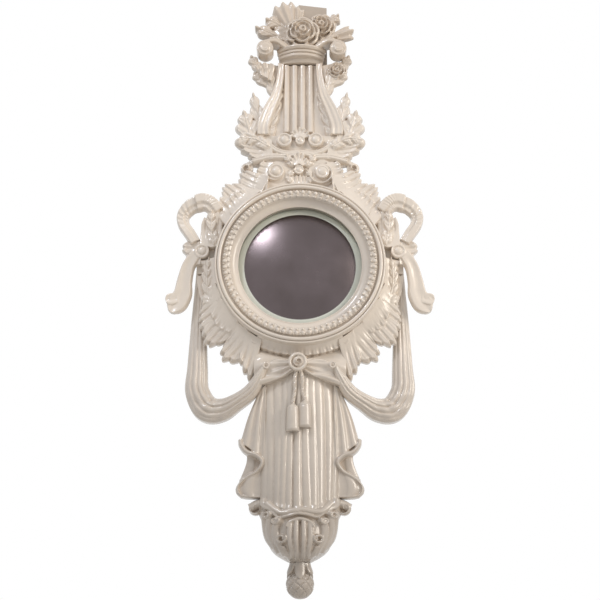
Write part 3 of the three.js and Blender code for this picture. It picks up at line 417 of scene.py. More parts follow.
def add(tree, kind, settings=None, out=0, **links):
    """Adds a node and returns one of its outputs. settings are its properties and a ramp's colour stops;
    links are values or sockets for its inputs, by name or, after an underscore, by number."""
    made = tree.nodes.new("ShaderNode" + kind)
    for key, value in (settings or {}).items():
        if key == "stops":
            set_stops(made.color_ramp.elements, value)
        else:
            setattr(made, key, value)
    for key, value in links.items():
        place = int(key[1:]) if key[0] == "_" else key.replace("_", " ")
        if isinstance(value, bpy.types.NodeSocket):
            tree.links.new(value, made.inputs[place])
        else:
            made.inputs[place].default_value = value
    return made.outputs[out]


def new_material(name):
    material = bpy.data.materials.new(name)
    material.use_nodes = True
    tree = material.node_tree
    tree.nodes.clear()
    output = tree.nodes.new("ShaderNodeOutputMaterial")
    shader = tree.nodes.new("ShaderNodeBsdfPrincipled")
    tree.links.new(shader.outputs["BSDF"], output.inputs["Surface"])
    at = tree.nodes.new("ShaderNodeTexCoord").outputs["Object"]
    return material, tree, shader, at


# %% The lacquer
WARM_CREAM = "#e3d7c8"
COOL_CREAM = "#dacfc2"
# A browner cream, used by the darkening towards the crest and by the grime and painted shade in hollows.
BROWNED_CREAM = "#c0ae9a"
# This grey is used by the painted shade towards the foot and by the boards' uncleaned grey.
SHADE_AND_DUST_GREY = "#7f7469"
# The darkest grime and painted shade in the hollows.
DEEP_DIRT_AND_SHADE = "#77654f"
LOW_SHADE_ZONE = (-0.575, -0.04)  # metres above the middle of the glass: full painted shade at the first, none at the last
TOP_DARKENING_ZONE = (0.36, 0.5)  # plain cream at the first, darkest at the last
CORNER_REACH = 0.012  # metres within which a neighbouring surface darkens a point as painted shade


def hollow_dirt_and_shade(tree, speckle):
    """How dark a point gets from its hollow and from how closed in it is: partly grime, partly painted shade.
    """
    hollow = add(tree, "Attribute", {"attribute_name": "hollow"}, "Fac")
    # Ambient occlusion darkens points that neighbouring surfaces close in: painted shade.
    open_share = add(tree, "AmbientOcclusion", {"samples": 8}, "AO", Distance=CORNER_REACH)
    closed_in_shade = add(tree, "Math", {"operation": "SUBTRACT"}, _0=1.0, _1=open_share)
    both = add(tree, "Math", {"operation": "MULTIPLY_ADD"}, _0=closed_in_shade, _1=0.3, _2=hollow)
    patchy = add(tree, "MapRange", Value=speckle, From_Min=0.3, From_Max=0.7, To_Min=0.6, To_Max=1.15)
    return add(tree, "Math", {"operation": "MULTIPLY"}, _0=both, _1=patchy)


def lacquer_colour(tree, at, speckle):
    """The cream, grey at the handled foot, dusty at the top and dirty in hollows."""
    patches = add(tree, "TexNoise", Vector=at, Scale=14.0, Detail=3.0, Roughness=0.55)
    cream = add(tree, "ValToRGB", {"stops": [(0.35, COOL_CREAM), (0.65, WARM_CREAM)]}, Fac=patches)
    height = add(tree, "SeparateXYZ", out="Z", Vector=at)
    drift = add(tree, "Math", {"operation": "MULTIPLY_ADD"}, _0=speckle, _1=0.08, _2=height)
    # Painted shade: the cream darkens and greys towards the foot.
    low, high = (GLASS_HEIGHT * MM + edge for edge in LOW_SHADE_ZONE)
    low_shade = add(tree, "MapRange", Value=drift, From_Min=low, From_Max=high, To_Min=0.75, To_Max=0.0)
    # The cream darkens towards the crest.
    low, high = (GLASS_HEIGHT * MM + edge for edge in TOP_DARKENING_ZONE)
    top_darkening = add(tree, "MapRange", Value=drift, From_Min=low, From_Max=high, To_Max=0.6)
    # Hollows and closed-in places get grime and painted shade together.
    dirt_and_shade = hollow_dirt_and_shade(tree, speckle)
    varnish_and_shade = add(tree, "MapRange", Value=dirt_and_shade, From_Min=0.2, From_Max=1.0)
    deep = add(tree, "MapRange", Value=dirt_and_shade, From_Min=0.8, From_Max=1.7)
    layers = ((low_shade, SHADE_AND_DUST_GREY), (top_darkening, BROWNED_CREAM), (varnish_and_shade, BROWNED_CREAM), (deep, DEEP_DIRT_AND_SHADE))
    for share, tint in layers:
        cream = add(tree, "Mix", {"data_type": "RGBA"}, 2, _0=share, _6=cream, _7=linear(tint))
    return cream, varnish_and_shade


def lacquer_surface(tree, shader, at, colour, varnish_and_shade, speckle, coat=0.5):
    marks = add(tree, "TexNoise", Vector=at, Scale=45.0, Detail=3.0, Roughness=0.55)
    pores = add(tree, "TexNoise", Vector=at, Scale=260.0, Detail=2.0, Roughness=0.55)
    cracks = add(tree, "TexVoronoi", {"feature": "DISTANCE_TO_EDGE"}, "Distance", Vector=at, Scale=38.0)
    fine = add(tree, "MapRange", Value=cracks, From_Max=0.012)
    bump = add(tree, "Bump", Strength=0.35, Distance=0.0012, Height=marks)
    bump = add(tree, "Bump", Strength=0.2, Distance=0.0004, Height=pores, Normal=bump)
    bump = add(tree, "Bump", Strength=0.2, Distance=0.0002, Height=fine, Normal=bump)
    dull = add(tree, "MapRange", Value=varnish_and_shade, To_Min=0.2, To_Max=0.45)
    rough = add(tree, "Math", {"operation": "MULTIPLY_ADD"}, _0=speckle, _1=0.1, _2=dull)
    tree.links.new(colour, shader.inputs["Base Color"])
    tree.links.new(rough, shader.inputs["Roughness"])
    tree.links.new(bump, shader.inputs["Normal"])
    shader.inputs["IOR"].default_value = 1.5
    shader.inputs["Coat Weight"].default_value = coat
    shader.inputs["Coat Roughness"].default_value = 0.08


def make_lacquer():
    material, tree, shader, at = new_material("cream lacquer over gesso")
    speckle = add(tree, "TexNoise", Vector=at, Scale=90.0, Detail=4.0, Roughness=0.6)
    colour, varnish_and_shade = lacquer_colour(tree, at, speckle)
    lacquer_surface(tree, shader, at, colour, varnish_and_shade, speckle)
    return material


cream_lacquer = make_lacquer()
print("made", cream_lacquer.name)

# %% [markdown]
# ## The turned ring
# On the lathe the ring gets a thin lip, undercut where the glass goes behind it, a wide shallow cove, a flat
# for the beads, and two narrow rounds between grooves at the outside. The profile is one closed line, spun
# once. Round stretches are made of short steps, so the highlights run unbroken round the ring.

# %% Ring moulding
BEAD_SEAT = TOP - 6
LIP_FRONT = 55
RABBET = 39.2


def curve(centre, size, start, end, count):
    """Points on an ellipse in the profile's plane, from start to end in degrees."""
    angles = [math.radians(mix(start, end, i / count)) for i in range(count + 1)]
    return [(centre[0] + size[0] * math.cos(a), centre[1] + size[1] * math.sin(a)) for a in angles]


def ring_profile():
    lip = [(111.6, RABBET), (111.2, LIP_FRONT - 4), (SIGHT + 0.6, LIP_FRONT - 2.2)]
    lip += curve((SIGHT + 1.2, LIP_FRONT - 1.2), (1.2, 1.2), 200, 40, 6)
    cove = curve((SIGHT + 3, BEAD_SEAT + 1), (10.6, 12), 276, 350, 12)
    seat = [(BEADS - 6.3, BEAD_SEAT + 0.6), (BEADS - 5.8, BEAD_SEAT), (BEADS + 6.6, BEAD_SEAT)]
    groove = [(BEADS + 7.4, BEAD_SEAT - 1.4), (BEADS + 9, BEAD_SEAT - 1.4)]
    inner_round = curve((BEADS + 13, TOP - 3.6), (3.4, 3.6), 195, -15, 12)
    between = [(BEADS + 16.6, TOP - 5.6)]
    outer_round = curve((BEADS + 19, TOP - 5), (2.2, 2.8), 190, 0, 10)
    edge = [(RING - 0.6, TOP - 8), (RING, TOP - 9), (RING, FRONT), (117, FRONT), (117, RABBET)]
    return lip + cove + seat + groove + inner_round + between + outer_round + edge


carve("turned_ring", [turned(ring_profile(), 256, closed=True)], ["ring_moulding"], voxel=0)

# %% [markdown]
# ## Beads
# The course is a row of eggs set across the ring: each has a small tongue on its inner side and a thin dart
# beside it. All three are small stretched spheres, turned into place and half sunk in a strip.

# %% Bead course
BEAD_COUNT = 74
PITCH = TAU * BEADS / BEAD_COUNT
EGG = (2.2, (4.6, PITCH * 0.36, 4.6))  # distance out from the beads' circle, half lengths
TONGUE = (-4.2, (2.7, PITCH * 0.24, 3.4))
DART = (4.6, (2.4, PITCH * 0.11, 3.6))


def grain(angle, out, size, steps=12):
    bead = bmesh.new()
    bmesh.ops.create_uvsphere(bead, u_segments=steps, v_segments=8, radius=1)
    bmesh.ops.scale(bead, verts=bead.verts[:], vec=size)
    bmesh.ops.translate(bead, verts=bead.verts[:], vec=(BEADS + out, 0, BEAD_SEAT + 2.2))
    turn = Matrix.Rotation(angle, 3, "Z")
    bmesh.ops.rotate(bead, verts=bead.verts[:], cent=(0, 0, 0), matrix=turn)
    return bead


def bead_course():
    strip = [(BEADS - 6.4, BEAD_SEAT + 0.1), (BEADS - 5.6, BEAD_SEAT + 2.4)]
    strip += [(BEADS + 5.6, BEAD_SEAT + 3), (BEADS + 6.4, BEAD_SEAT + 0.1)]
    parts = [turned(strip, 148, closed=True)]
    for i in range(BEAD_COUNT):
        angle = TAU * i / BEAD_COUNT
        parts += [grain(angle, *EGG), grain(angle, *TONGUE), grain(angle + TAU / BEAD_COUNT / 2, *DART, 8)]
    return parts


carve("carved_beads", bead_course(), ["bead_course"], voxel=0)

# %% [markdown]
# ## The glass
# A convex glass is slumped in a kiln and silvered behind. What the eye gets is a small, wide reflection of a
# dim room, grey-brown. The silver stops 15 mm short of the edge, and the bare rim is painted pale and
# greenish, a painted reflection of the cream lip in thick glass. A metallic surface is the usual stand-in
# for silvering, and the silver is painted dark grey-brown, a painted reflection of a dim room, because a
# studio has no dim room to reflect. It is rougher than new silvering, so the lamp shows in it as a soft glow.

# %% Mirror glass
GLASS_RADIUS = 114.3
GLASS_EDGE = FRONT + 14.3
GLASS_SAG = 21.5
GLASS_CURVE = (GLASS_RADIUS**2 + GLASS_SAG**2) / (2 * GLASS_SAG)
SILVER_RADIUS = 99.5


def glass_front(r):
    return GLASS_EDGE + math.sqrt(GLASS_CURVE**2 - r * r) - math.sqrt(GLASS_CURVE**2 - GLASS_RADIUS**2)


def make_glass_material():
    material, tree, shader, at = new_material("silvered convex glass")
    middle = (0, 0, -GLASS_HEIGHT * MM)
    centred = add(tree, "Mapping", Vector=at, Location=middle, Scale=(1, 0, 1))
    radius = add(tree, "VectorMath", {"operation": "LENGTH"}, "Value", _0=centred)
    inner, outer = (SILVER_RADIUS - 0.5) * MM, (SILVER_RADIUS + 0.5) * MM
    rim = add(tree, "MapRange", Value=radius, From_Min=inner, From_Max=outer)
    cloud = add(tree, "TexNoise", Vector=at, Scale=9.0, Detail=4.0, Roughness=0.6)
    # The silver's dark colour is a painted reflection of a dim room, and the rim's pale greenish colour a
    # painted reflection of the cream lip.
    silver_with_painted_room = add(tree, "ValToRGB", {"stops": [(0.3, "#5d5454"), (0.7, "#6e6466")]}, Fac=cloud)
    colour = add(tree, "Mix", {"data_type": "RGBA"}, 2, _0=rim, _6=silver_with_painted_room, _7=linear("#e6eadf"))
    metal = add(tree, "MapRange", Value=rim, To_Min=1.0, To_Max=0.1)
    rough = add(tree, "MapRange", Value=cloud, From_Min=0.3, From_Max=0.7, To_Min=0.22, To_Max=0.3)
    tree.links.new(colour, shader.inputs["Base Color"])
    tree.links.new(metal, shader.inputs["Metallic"])
    tree.links.new(rough, shader.inputs["Roughness"])
    shader.inputs["Coat Weight"].default_value = 0.1
    shader.inputs["Coat Roughness"].default_value = 0.3
    return material


def glass_profile():
    front = [(GLASS_RADIUS * t / 24, glass_front(GLASS_RADIUS * t / 24)) for t in range(25)]
    return front + [(r, z - 3) for r, z in reversed(front)]


glass_finish = make_glass_material()
glass = carve("convex_glass", [turned(glass_profile(), 128)], ["mirror_glass"], voxel=0, finish=glass_finish)

# %% [markdown]
# ## The lyre
# A flat sound board with four half-round strings stands behind two moulded arms. Serrated leaves lie between
# the strings and the arms.

# %% Lyre: board and strings
LYRE_FOOT = SURROUND + 100
LYRE_TOP = SURROUND + 252
SOUNDBOARD = 7.4
STRINGS_X = -3
STRING_PITCH = 15
PANEL_FRONT = FRONT + SOUNDBOARD


def lyre_y(t):
    return mix(LYRE_FOOT, LYRE_TOP, t)


def string_panel():
    edge = [(39, 1), (39, 0.74), (47, 0.51), (65, 0.28), (76, 0.12), (78, 0)]
    right = [(x, lyre_y(t)) for x, t in edge]
    parts = [plate(right + [(-x, y) for x, y in reversed(right)], FRONT, PANEL_FRONT)]
    for k in range(4):
        x = STRINGS_X + (k - 1.5) * STRING_PITCH
        ends = [(x, lyre_y(t), 6, PANEL_FRONT - 1, 8) for t in (0.05, 0.985)]
        parts.append(band(ends, rounded, 12, 40))
    for side in (1, -1):
        spine = [(58 * side, lyre_y(0)), (49 * side, lyre_y(0.3)), (36 * side, lyre_y(0.72))]
        parts += acanthus(spine, 11, 5, height=9, low=PANEL_FRONT - 1, lift=1, foot=0.8, groove=0.35)
    return parts


carve("carved_strings", string_panel(), ["lyre_string_panel"], voxel=0.9)

# %% Lyre: arms
ARM_LOW = PANEL_FRONT + 0.3
ARM_LINE = [
    (36, lyre_y(0.993), 6.5, ARM_LOW, 12),
    (37.5, lyre_y(0.81), 7, ARM_LOW, 13),
    (44.5, lyre_y(0.566), 9, ARM_LOW, 15),
    (59, lyre_y(0.33), 12, ARM_LOW, 16),
    (68.5, lyre_y(0.13), 12.5, ARM_LOW, 16),
    (68.5, lyre_y(0), 12.5, ARM_LOW, 15),
]


def arm_face(across, along):
    channel = 0.13 * hump(across, -0.3, 0.2) + 0.08 * hump(across, 0.4, 0.14)
    roll = 0.5 * ease(abs(across) * 5 - 4)
    return 0.97 - channel - roll


carve_pair("lyre_arm", lambda: [band(ARM_LINE, arm_face, 24, 80)])

# %% [markdown]
# ## Capital and scrolls
# The capital is a bowed bar with three mouldings over a recessed bed. A thick strap rises from each of its
# ends, rolls over outwards and coils round a button.

# %% Capital
CAPITAL_X = 3
CAPITAL_HALF = 47
CAPITAL_FOOT = LYRE_TOP + 2
CAPITAL_TOP = CAPITAL_FOOT + 28
CAPITAL_STEPS = [0, 0.22, 0.26, 0.3, 0.46, 0.49, 0.53, 0.66, 0.7, 0.74, 0.86, 0.96, 1]
CAPITAL_DEPTHS = [0.45, 0.5, 0.74, 0.79, 0.8, 0.74, 0.86, 0.87, 0.8, 0.93, 1, 0.99, 0.94]
CAPITAL_WIDTHS = [0.88, 0.88, 0.91, 0.92, 0.92, 0.91, 0.95, 0.95, 0.93, 0.97, 1, 1, 0.98]


def capital():
    def place(across, along, up):
        deep = float(np.interp(along, CAPITAL_STEPS, CAPITAL_DEPTHS))
        wide = float(np.interp(along, CAPITAL_STEPS, CAPITAL_WIDTHS))
        bow = 22 * (1 - abs(across) ** 2.2)
        x = CAPITAL_X + across * CAPITAL_HALF * wide
        return x, mix(CAPITAL_FOOT, CAPITAL_TOP, along), FRONT + up * deep * (16 + bow)

    return [slab(60, 70, place)]


carve("carved_capital", capital(), ["lyre_capital"], voxel=0)

# %% Scrolls
SCROLL_X = CAPITAL_HALF + 21
SCROLL_Y = CAPITAL_TOP - 8
SCROLL_RADIUS = 18
SCROLL_DEPTH = 36


def scroll_face(across, along):
    return 1 - 0.09 * ease(abs(across) * 3 - 2) - 0.035 * hump(across, 0.2, 0.15)


def scroll(shift):
    x, y = SCROLL_X + shift, SCROLL_Y
    line = [
        (x - 47, y + 2, 5.5, FRONT, SCROLL_DEPTH - 10),
        (x - 34, y + 11, 5.5, FRONT, SCROLL_DEPTH - 5),
        (x - 18, y + 18, 5, FRONT + 4, SCROLL_DEPTH - 4),
    ]
    for angle in range(90, -500, -45):
        dx, dy = polar(angle, (SCROLL_RADIUS - 3.5) * (1 - (90 - angle) / 980))
        line.append((x + dx, y + dy, 4.2, FRONT + 10, SCROLL_DEPTH - 10 + (90 - angle) / 90))
    front = FRONT + SCROLL_DEPTH
    core = [(0, FRONT + 10), (SCROLL_RADIUS - 3, FRONT + 10), (SCROLL_RADIUS - 3, front - 7)]
    core += [(9.5, front - 6), (9.5, front + 1), *curve((5, front + 1), (4.5, 4), 0, 90, 5), (0, front + 5.2)]
    return [band(line, scroll_face, 10, 170), turned(core, 32, (x, y, 0))]


carve("carved_scroll_right", scroll(CAPITAL_X), ["volute_right"], voxel=0.9)
carve("carved_scroll_left", scroll(-CAPITAL_X), ["volute_left"], voxel=0.9, flip=True)

# %% [markdown]
# ## Roses
# A carved rose is a coiled bud in rings of broad petals. Every petal is a slab bent round the middle of the
# flower, with one side over its neighbour, a hollow in the middle and a ruffled rim that curls forward.

# %% The rose
PETAL_THICKNESS = 4.5


def coil(x, y, radius, low, height, turns=1.6):
    line = []
    for i in range(28):
        t = i / 27
        dx, dy = polar(360 * turns * t + 200, radius * 0.88 * (1 - 0.85 * t))
        line.append((x + dx, y + dy, radius * 0.12, low, height * mix(0.85, 1, t)))
    floor = [(0, low), (radius, low), (radius * 0.96, low + height * 0.5), (0, low + height * 0.4)]
    return [band(line, finger_face, 6, 130), turned(floor, 28, (x, y, 0))]


def petal(x, y, turn, spread, inner, outer, low, rise):
    def place(across, along, up):
        angle = turn + across * spread * mix(0.8, 1, along)
        r = mix(inner, outer * (1 - 0.16 * abs(across) ** 3), along)
        hollow = 3.2 * math.sin(math.pi * along) * (1 - across * across)
        ruffle = 1.2 * math.sin(across * 5 + turn * 5) * along * along
        lap = 2.4 * across * along
        rim = 1.6 * hump(along, 0.84, 0.1) - 3 * ease(along * 9 - 8)
        z = low + rise * along**1.4 - hollow + ruffle + lap + rim
        dx, dy = r * math.cos(angle), r * math.sin(angle)
        return x + dx, y + dy, z if up else z - PETAL_THICKNESS

    return slab(16, 14, place)


def rose(x, y, radius, seat, low, high, petals=5, start=0.3):
    """A rose from its seat on the board to its highest point, with its outer petals at low."""
    stem = [(0, seat), (radius * 0.62, seat), (radius * 0.66, low), (radius * 0.4, high - 9), (0, high - 8)]
    parts = [turned(stem, 32, (x, y, 0))]
    for ring, (reach, lift) in enumerate(((1.07, 0.0), (0.8, 0.3), (0.5, 0.62))):
        count = petals - ring
        for i in range(count):
            turn = start + TAU * (i + 0.5 * ring) / count
            inner, outer = radius * 0.2, radius * reach
            base = mix(low, high, lift)
            parts.append(petal(x, y, turn, 0.6 * TAU / count, inner, outer, base + 1, (high - low) * 0.26))
    return parts + coil(x, y, radius * 0.24, high - 8, 8, 0.9)


ROSE = (5, CAPITAL_TOP + 29)
main_rose = rose(*ROSE, 31, FRONT, FRONT + 26, FRONT + 50, petals=6)
carve("carved_rose", main_rose, ["crest_rose"], voxel=0.85)

# %% [markdown]
# ## The sprays behind the rose
# Left: three pointed leaves, a wide fluted bud with a scalloped mouth, and a small one behind the rose.
# Right: a second rose half hidden by the first, two leaves, and a fluted bud that leans out over the scroll.

# %% Fluted buds and sprays
def fluted_bud(root, tip, start_half, end_half, low, height, flutes):
    root, tip = Vector(root), Vector(tip)
    run = tip - root
    side = Vector((-run.y, run.x)).normalized()

    def place(across, along, up):
        flute = math.cos(math.pi * flutes * across)
        reach = along * (1 + 0.05 * flute * along - 0.1 * across * across)
        half = mix(start_half, end_half, ease(along) ** 1.1)
        x, y = root + run * reach + side * (across * half)
        if not up:
            return x, y, low + 8 * along * along
        dome = math.sqrt(max(0, 1 - (across * 0.97) ** 2))
        groove = 2.2 * (flute - 1) * along ** 0.5
        return x, y, low + height * (0.35 + 0.65 * dome) + groove + 6 * along - 3 * ease(along * 6 - 5)

    return slab(36, 26, place)


def above_capital(*places):
    return [(x, CAPITAL_TOP + y) for x, y in places]


def spray_left():
    ground = above_capital((-34, 2), (-12, 2), (-8, 68), (-26, 64), (-40, 34))
    parts = [plate(ground, FRONT, FRONT + 12)]
    parts += acanthus(above_capital((-14, 38), (-42, 56), (-67, 68)), 17, 2, 17)
    parts += acanthus(above_capital((-16, 16), (-52, 34), (-87, 50)), 15, 2, 17)
    parts += acanthus(above_capital((-10, 8), (-34, 18), (-54, 20)), 11, 2, 22)
    parts.append(fluted_bud(*above_capital((-15, 42), (-33, 98)), 12, 25, FRONT, 21, 3))
    parts.append(fluted_bud(*above_capital((-6, 50), (-4, 92)), 8, 13, FRONT, 17, 2))
    return parts


def spray_right():
    ground = above_capital((26, 2), (44, 2), (58, 30), (58, 58), (36, 68), (14, 66))
    parts = [plate(ground, FRONT, FRONT + 12)]
    parts += rose(41, CAPITAL_TOP + 52, 26, FRONT, FRONT + 10, FRONT + 32, petals=6, start=0.9)
    parts += acanthus(above_capital((48, 50), (62, 64), (75, 78)), 13, 2)
    parts += acanthus(above_capital((28, 6), (50, 20), (74, 26)), 12, 2, 20)
    parts.append(fluted_bud(*above_capital((50, 24), (101, 41)), 8, 15, FRONT, 17, 2))
    return parts


carve("carved_spray_left", spray_left(), ["crest_foliage_left"], voxel=0.9)
carve("carved_spray_right", spray_right(), ["crest_foliage_right"], voxel=0.9)

# %% [markdown]
# ## Roses on the arms
# The right arm carries a round rose and the left one a rose seen from the side, its petals standing in a cup.
# Both have a pointed leaf above and taper down into the arm.

# %% Arm rosettes
ARM_ROSE_Y = LYRE_TOP - 18


def rosette_ground():
    y = ARM_ROSE_Y
    outline = [(42, y + 14), (62, y + 19), (80, y + 14), (86, y - 2)]
    outline += [(78, y - 18), (60, y - 32), (46, y - 52), (44, y - 30)]
    parts = [plate(outline, ARM_LOW, ARM_LOW + 6)]
    parts += acanthus([(70, y), (84, y + 16), (94, y + 34)], 12, 2, height=11, low=ARM_LOW, lift=2)
    parts += acanthus([(44, y - 54), (54, y - 30), (60, y + 2)], 13, 2, height=11, low=ARM_LOW, lift=1)
    return parts + acanthus([(62, y - 26), (78, y - 16), (88, y - 2)], 9, 2, 10, ARM_LOW, 2)


def round_rosette():
    return rosette_ground() + rose(70, ARM_ROSE_Y, 19, ARM_LOW, ARM_LOW + 6, ARM_LOW + 22, petals=5)


def cup_rosette():
    y = ARM_ROSE_Y
    parts = rosette_ground()
    parts += fan([(54, y - 24), (68, y - 18)], [(46, y + 14), (68, y + 18), (90, y + 8)], 3, 17, ARM_LOW, 4)
    return parts + fan([(60, y - 22), (74, y - 14)], [(58, y + 4), (80, y + 2)], 2, 22, ARM_LOW, 2)


carve("carved_arm_rose_right", round_rosette(), ["arm_rosette_right"], voxel=0.85)
carve("carved_arm_rose_left", cup_rosette(), ["arm_rosette_left"], voxel=0.85, flip=True)

# %% [markdown]
# ## Acanthus beside the lyre
# One leafy mass sweeps out on each side of the lyre's foot: a slim upright tip, a broad jagged leaf above, a
# heavy rolled lobe below, and a small curl under a long stem.

# %% Crest acanthus
def strap(across, along):
    """A broad rounded stem with a groove along its middle."""
    return rounded(across, along) - 0.12 * hump(across, 0, 0.16)


def crest_acanthus():
    ground = [(58, 196), (84, 202), (92, 216), (104, 234), (98, 262), (90, 290), (80, 318), (66, 270)]
    parts = [plate(ground, FRONT, FRONT + 10)]
    parts += acanthus([(66, 262), (78, 302), (89, 352)], 14, 3, 15)
    parts += acanthus([(54, 222), (88, 256), (106, 312)], 27, 4, 19)
    parts += fan([(52, 250), (50, 212)], [(108, 268), (119, 252), (112, 232), (88, 212)], 5, 20, lift=5)
    parts += acanthus([(58, 236), (88, 252), (116, 248)], 15, 3, 25, lift=2)
    parts.append(ball(112, 246, FRONT + 14, 10, (1, 1, 1.1)))
    stem = [(40, 221, 8, FRONT, 21), (64, 217, 8, FRONT, 20)]
    stem += [(84, 210, 7, FRONT, 17), (100, 202, 6, FRONT, 14)]
    parts.append(band(stem, strap, 12, 40))
    return parts + coil(98, 196, 12, FRONT + 4, 14, 1.2)


carve_pair("crest_acanthus", crest_acanthus)

# %% [markdown]
# ## The block under the lyre
# Two rows of round bosses, each a dome in a rolled rim, with shell-shaped palmettes between them and two
# leafy stems that cross. The outer bosses of the lower row lie in coils.

# %% Lyre base
UPPER_ROW = SURROUND + 88
LOWER_ROW = SURROUND + 25
PALMETTE_BLADES = 7


def boss(x, y, radius, high, dome=0.62):
    seat = FRONT + high - 6
    rim = curve((radius * 0.84, seat + 1), (radius * 0.17, radius * 0.2), 10, 170, 7)
    bulb = curve((0, seat), (radius * dome, radius * 0.42), 5, 85, 6)
    profile = [(0, FRONT), (radius, FRONT), (radius, seat)] + rim + [(radius * dome, seat - 1.4)] + bulb
    return turned(profile + [(0, seat + radius * 0.42)], 36, (x, y, 0))


def palmette(x, y, wide, tall, low, height):
    share = [(-1, 0.1), (-0.85, 0.62), (0, 1), (0.85, 0.62), (1, 0.1)]
    edge = [(x + wide * a, y + tall * b) for a, b in share]
    base = [(x - wide * 0.35, y), (x, y + tall * 0.12), (x + wide * 0.35, y)]
    return fan(base, edge, PALMETTE_BLADES, height, low, 2, notch=0.22, groove=0.3)


def crossing_stem(side):
    line = [(-88, -7), (-58, 1), (-28, 2), (-2, 10), (24, 9), (44, 15), (60, 28)]
    stops = [(x * side, UPPER_ROW - 34 + y, 8, FRONT + 2, 19) for x, y in line]
    return band(stops, strap, 14, 70)


def above_ring(side, *places):
    return [(x * side, SURROUND + y) for x, y in places]


def lyre_base():
    foot = SURROUND - 26
    right = [(61.5, foot), (61.5, SURROUND + 66), (80.5, SURROUND + 86), (80.5, LYRE_FOOT - 0.3)]
    parts = [plate(right + [(-x, y) for x, y in reversed(right)], FRONT, FRONT + 14)]
    parts += [boss(-29, UPPER_ROW, 14, 26), boss(29, UPPER_ROW, 14, 26), boss(0, UPPER_ROW - 1, 9, 26)]
    parts += [boss(-44, LOWER_ROW, 15, 24), boss(41, LOWER_ROW - 2, 13, 25, 0.75)]
    parts.append(boss(-2, LOWER_ROW + 3, 9, 24))
    parts += coil(41, LOWER_ROW - 2, 27, FRONT + 10, 13, 1.5)
    parts += coil(-44, LOWER_ROW, 22, FRONT + 10, 11, 1.1)
    parts += palmette(0, UPPER_ROW + 4, 19, 24, FRONT + 8, 15)
    parts += palmette(-2, LOWER_ROW + 10, 17, 30, FRONT + 8, 15)
    parts += [crossing_stem(1), crossing_stem(-1)]
    for side in (1, -1):
        base, edge = above_ring(side, (48, 44), (64, 4)), above_ring(side, (74, 46), (86, 14))
        parts += fan(base, edge, 3, 20, lift=2)
        parts += acanthus(above_ring(side, (38, 64), (58, 80), (79, 97)), 13)
        parts += acanthus(above_ring(side, (10, 36), (20, 46), (26, 58)), 9, 2, 21)
        parts += acanthus(above_ring(side, (18, 2), (20, 16), (10, 30)), 8, 2, 19)
    base, edge = above_ring(1, (-22, -10), (0, -6), (22, -10)), above_ring(1, (-16, 18), (0, 21), (14, 18))
    return parts + fan(base, edge, 5, 18, lift=1)


carve("carved_lyre_base", lyre_base(), ["lyre_base"], voxel=0.9)

# %% [markdown]
# ## Leaves round the ring
# The border is one run of acanthus that grows out from behind the moulding, each leaf overlapping the next,
# made here in three lengths a side where the real one is jointed. Most of it is fans of shallow lobes.

# %% Border leaves
GROUND = 7
GROUND_RADIUS = SURROUND + 24


def border_ground(start, end):
    outer = [polar(mix(start, end, i / 10), GROUND_RADIUS) for i in range(11)]
    inner = [polar(mix(end, start, i / 10), RING - 2) for i in range(11)]
    return plate(outer + inner, FRONT, FRONT + GROUND)


def border_fan(base, edge, count, height=15, heel=17):
    return fan(base, edge, count, height, heel=heel, notch=0.11)


def border_upper():
    parts = [border_ground(-3, 67)]
    parts += border_fan([(56, 172), (70, 138)], [(97, 193), (112, 186), (114, 164)], 3)
    parts += border_fan([(60, 140), (58, 172)], [(88, 150), (84, 184)], 3, 21, 12)
    parts += border_fan([(72, 142), (116, 100)], [(112, 166), (136, 166), (144, 157), (144, 143)], 4)
    parts += border_fan([(82, 130), (122, 92)], [(104, 152), (124, 142), (138, 124)], 4, 22, 14)
    parts += border_fan([(108, 108), (134, 76)], [(143, 143), (154, 130), (163, 116)], 3)
    parts += fan([(142, 40), (160, 36), (180, 42)], [(138, 112), (158, 116), (178, 92)], 5, 20, heel=3)
    parts += acanthus([(154, 40), (160, 78), (160, 108)], 11, 3, 26, foot=1)
    return parts + border_fan([(174, 48), (178, 4)], [(207, 52), (214, 38), (208, 26), (200, 8)], 3, 15, 6)


def border_lower():
    parts = [border_ground(-45, -4)]
    parts += border_fan([(146, -66), (150, 16)], [(176, -64), (172, -20), (183, 14)], 6, 16, 12)
    parts += acanthus([(156, -72), (165, -28), (163, 18)], 12, 5, 21, foot=1)
    parts += border_fan([(150, -34), (128, -84)], [(173, -64), (179, -92), (177, -119)], 4)
    parts += border_fan([(134, -74), (102, -114)], [(174, -114), (170, -140), (156, -147), (131, -140)], 4)
    return parts + border_fan([(140, -62), (108, -106)], [(160, -92), (146, -117), (122, -128)], 4, 22, 14)


def border_foot():
    parts = [border_ground(-62, -46.5)]
    parts += border_fan([(110, -106), (76, -134)], [(130, -138), (140, -156), (134, -174), (106, -177)], 4)
    parts += border_fan([(92, -124), (66, -140)], [(108, -168), (99, -194), (85, -214)], 3, 21, 12)
    return parts + coil(79, -139, 8, FRONT + 18, 14, 1.2)


carve_pair("border_leaves_upper", border_upper)
carve_pair("border_leaves_lower", border_lower)
carve_pair("border_leaves_foot", border_foot)

# %% [markdown]
# ## Ribbons
# The bow's loop is a broad strap. It comes up from under the leaves, folds over at the top and runs back in,
# narrower, to a domed knot. Below the knot the free end falls, widens and turns over in two lobes.

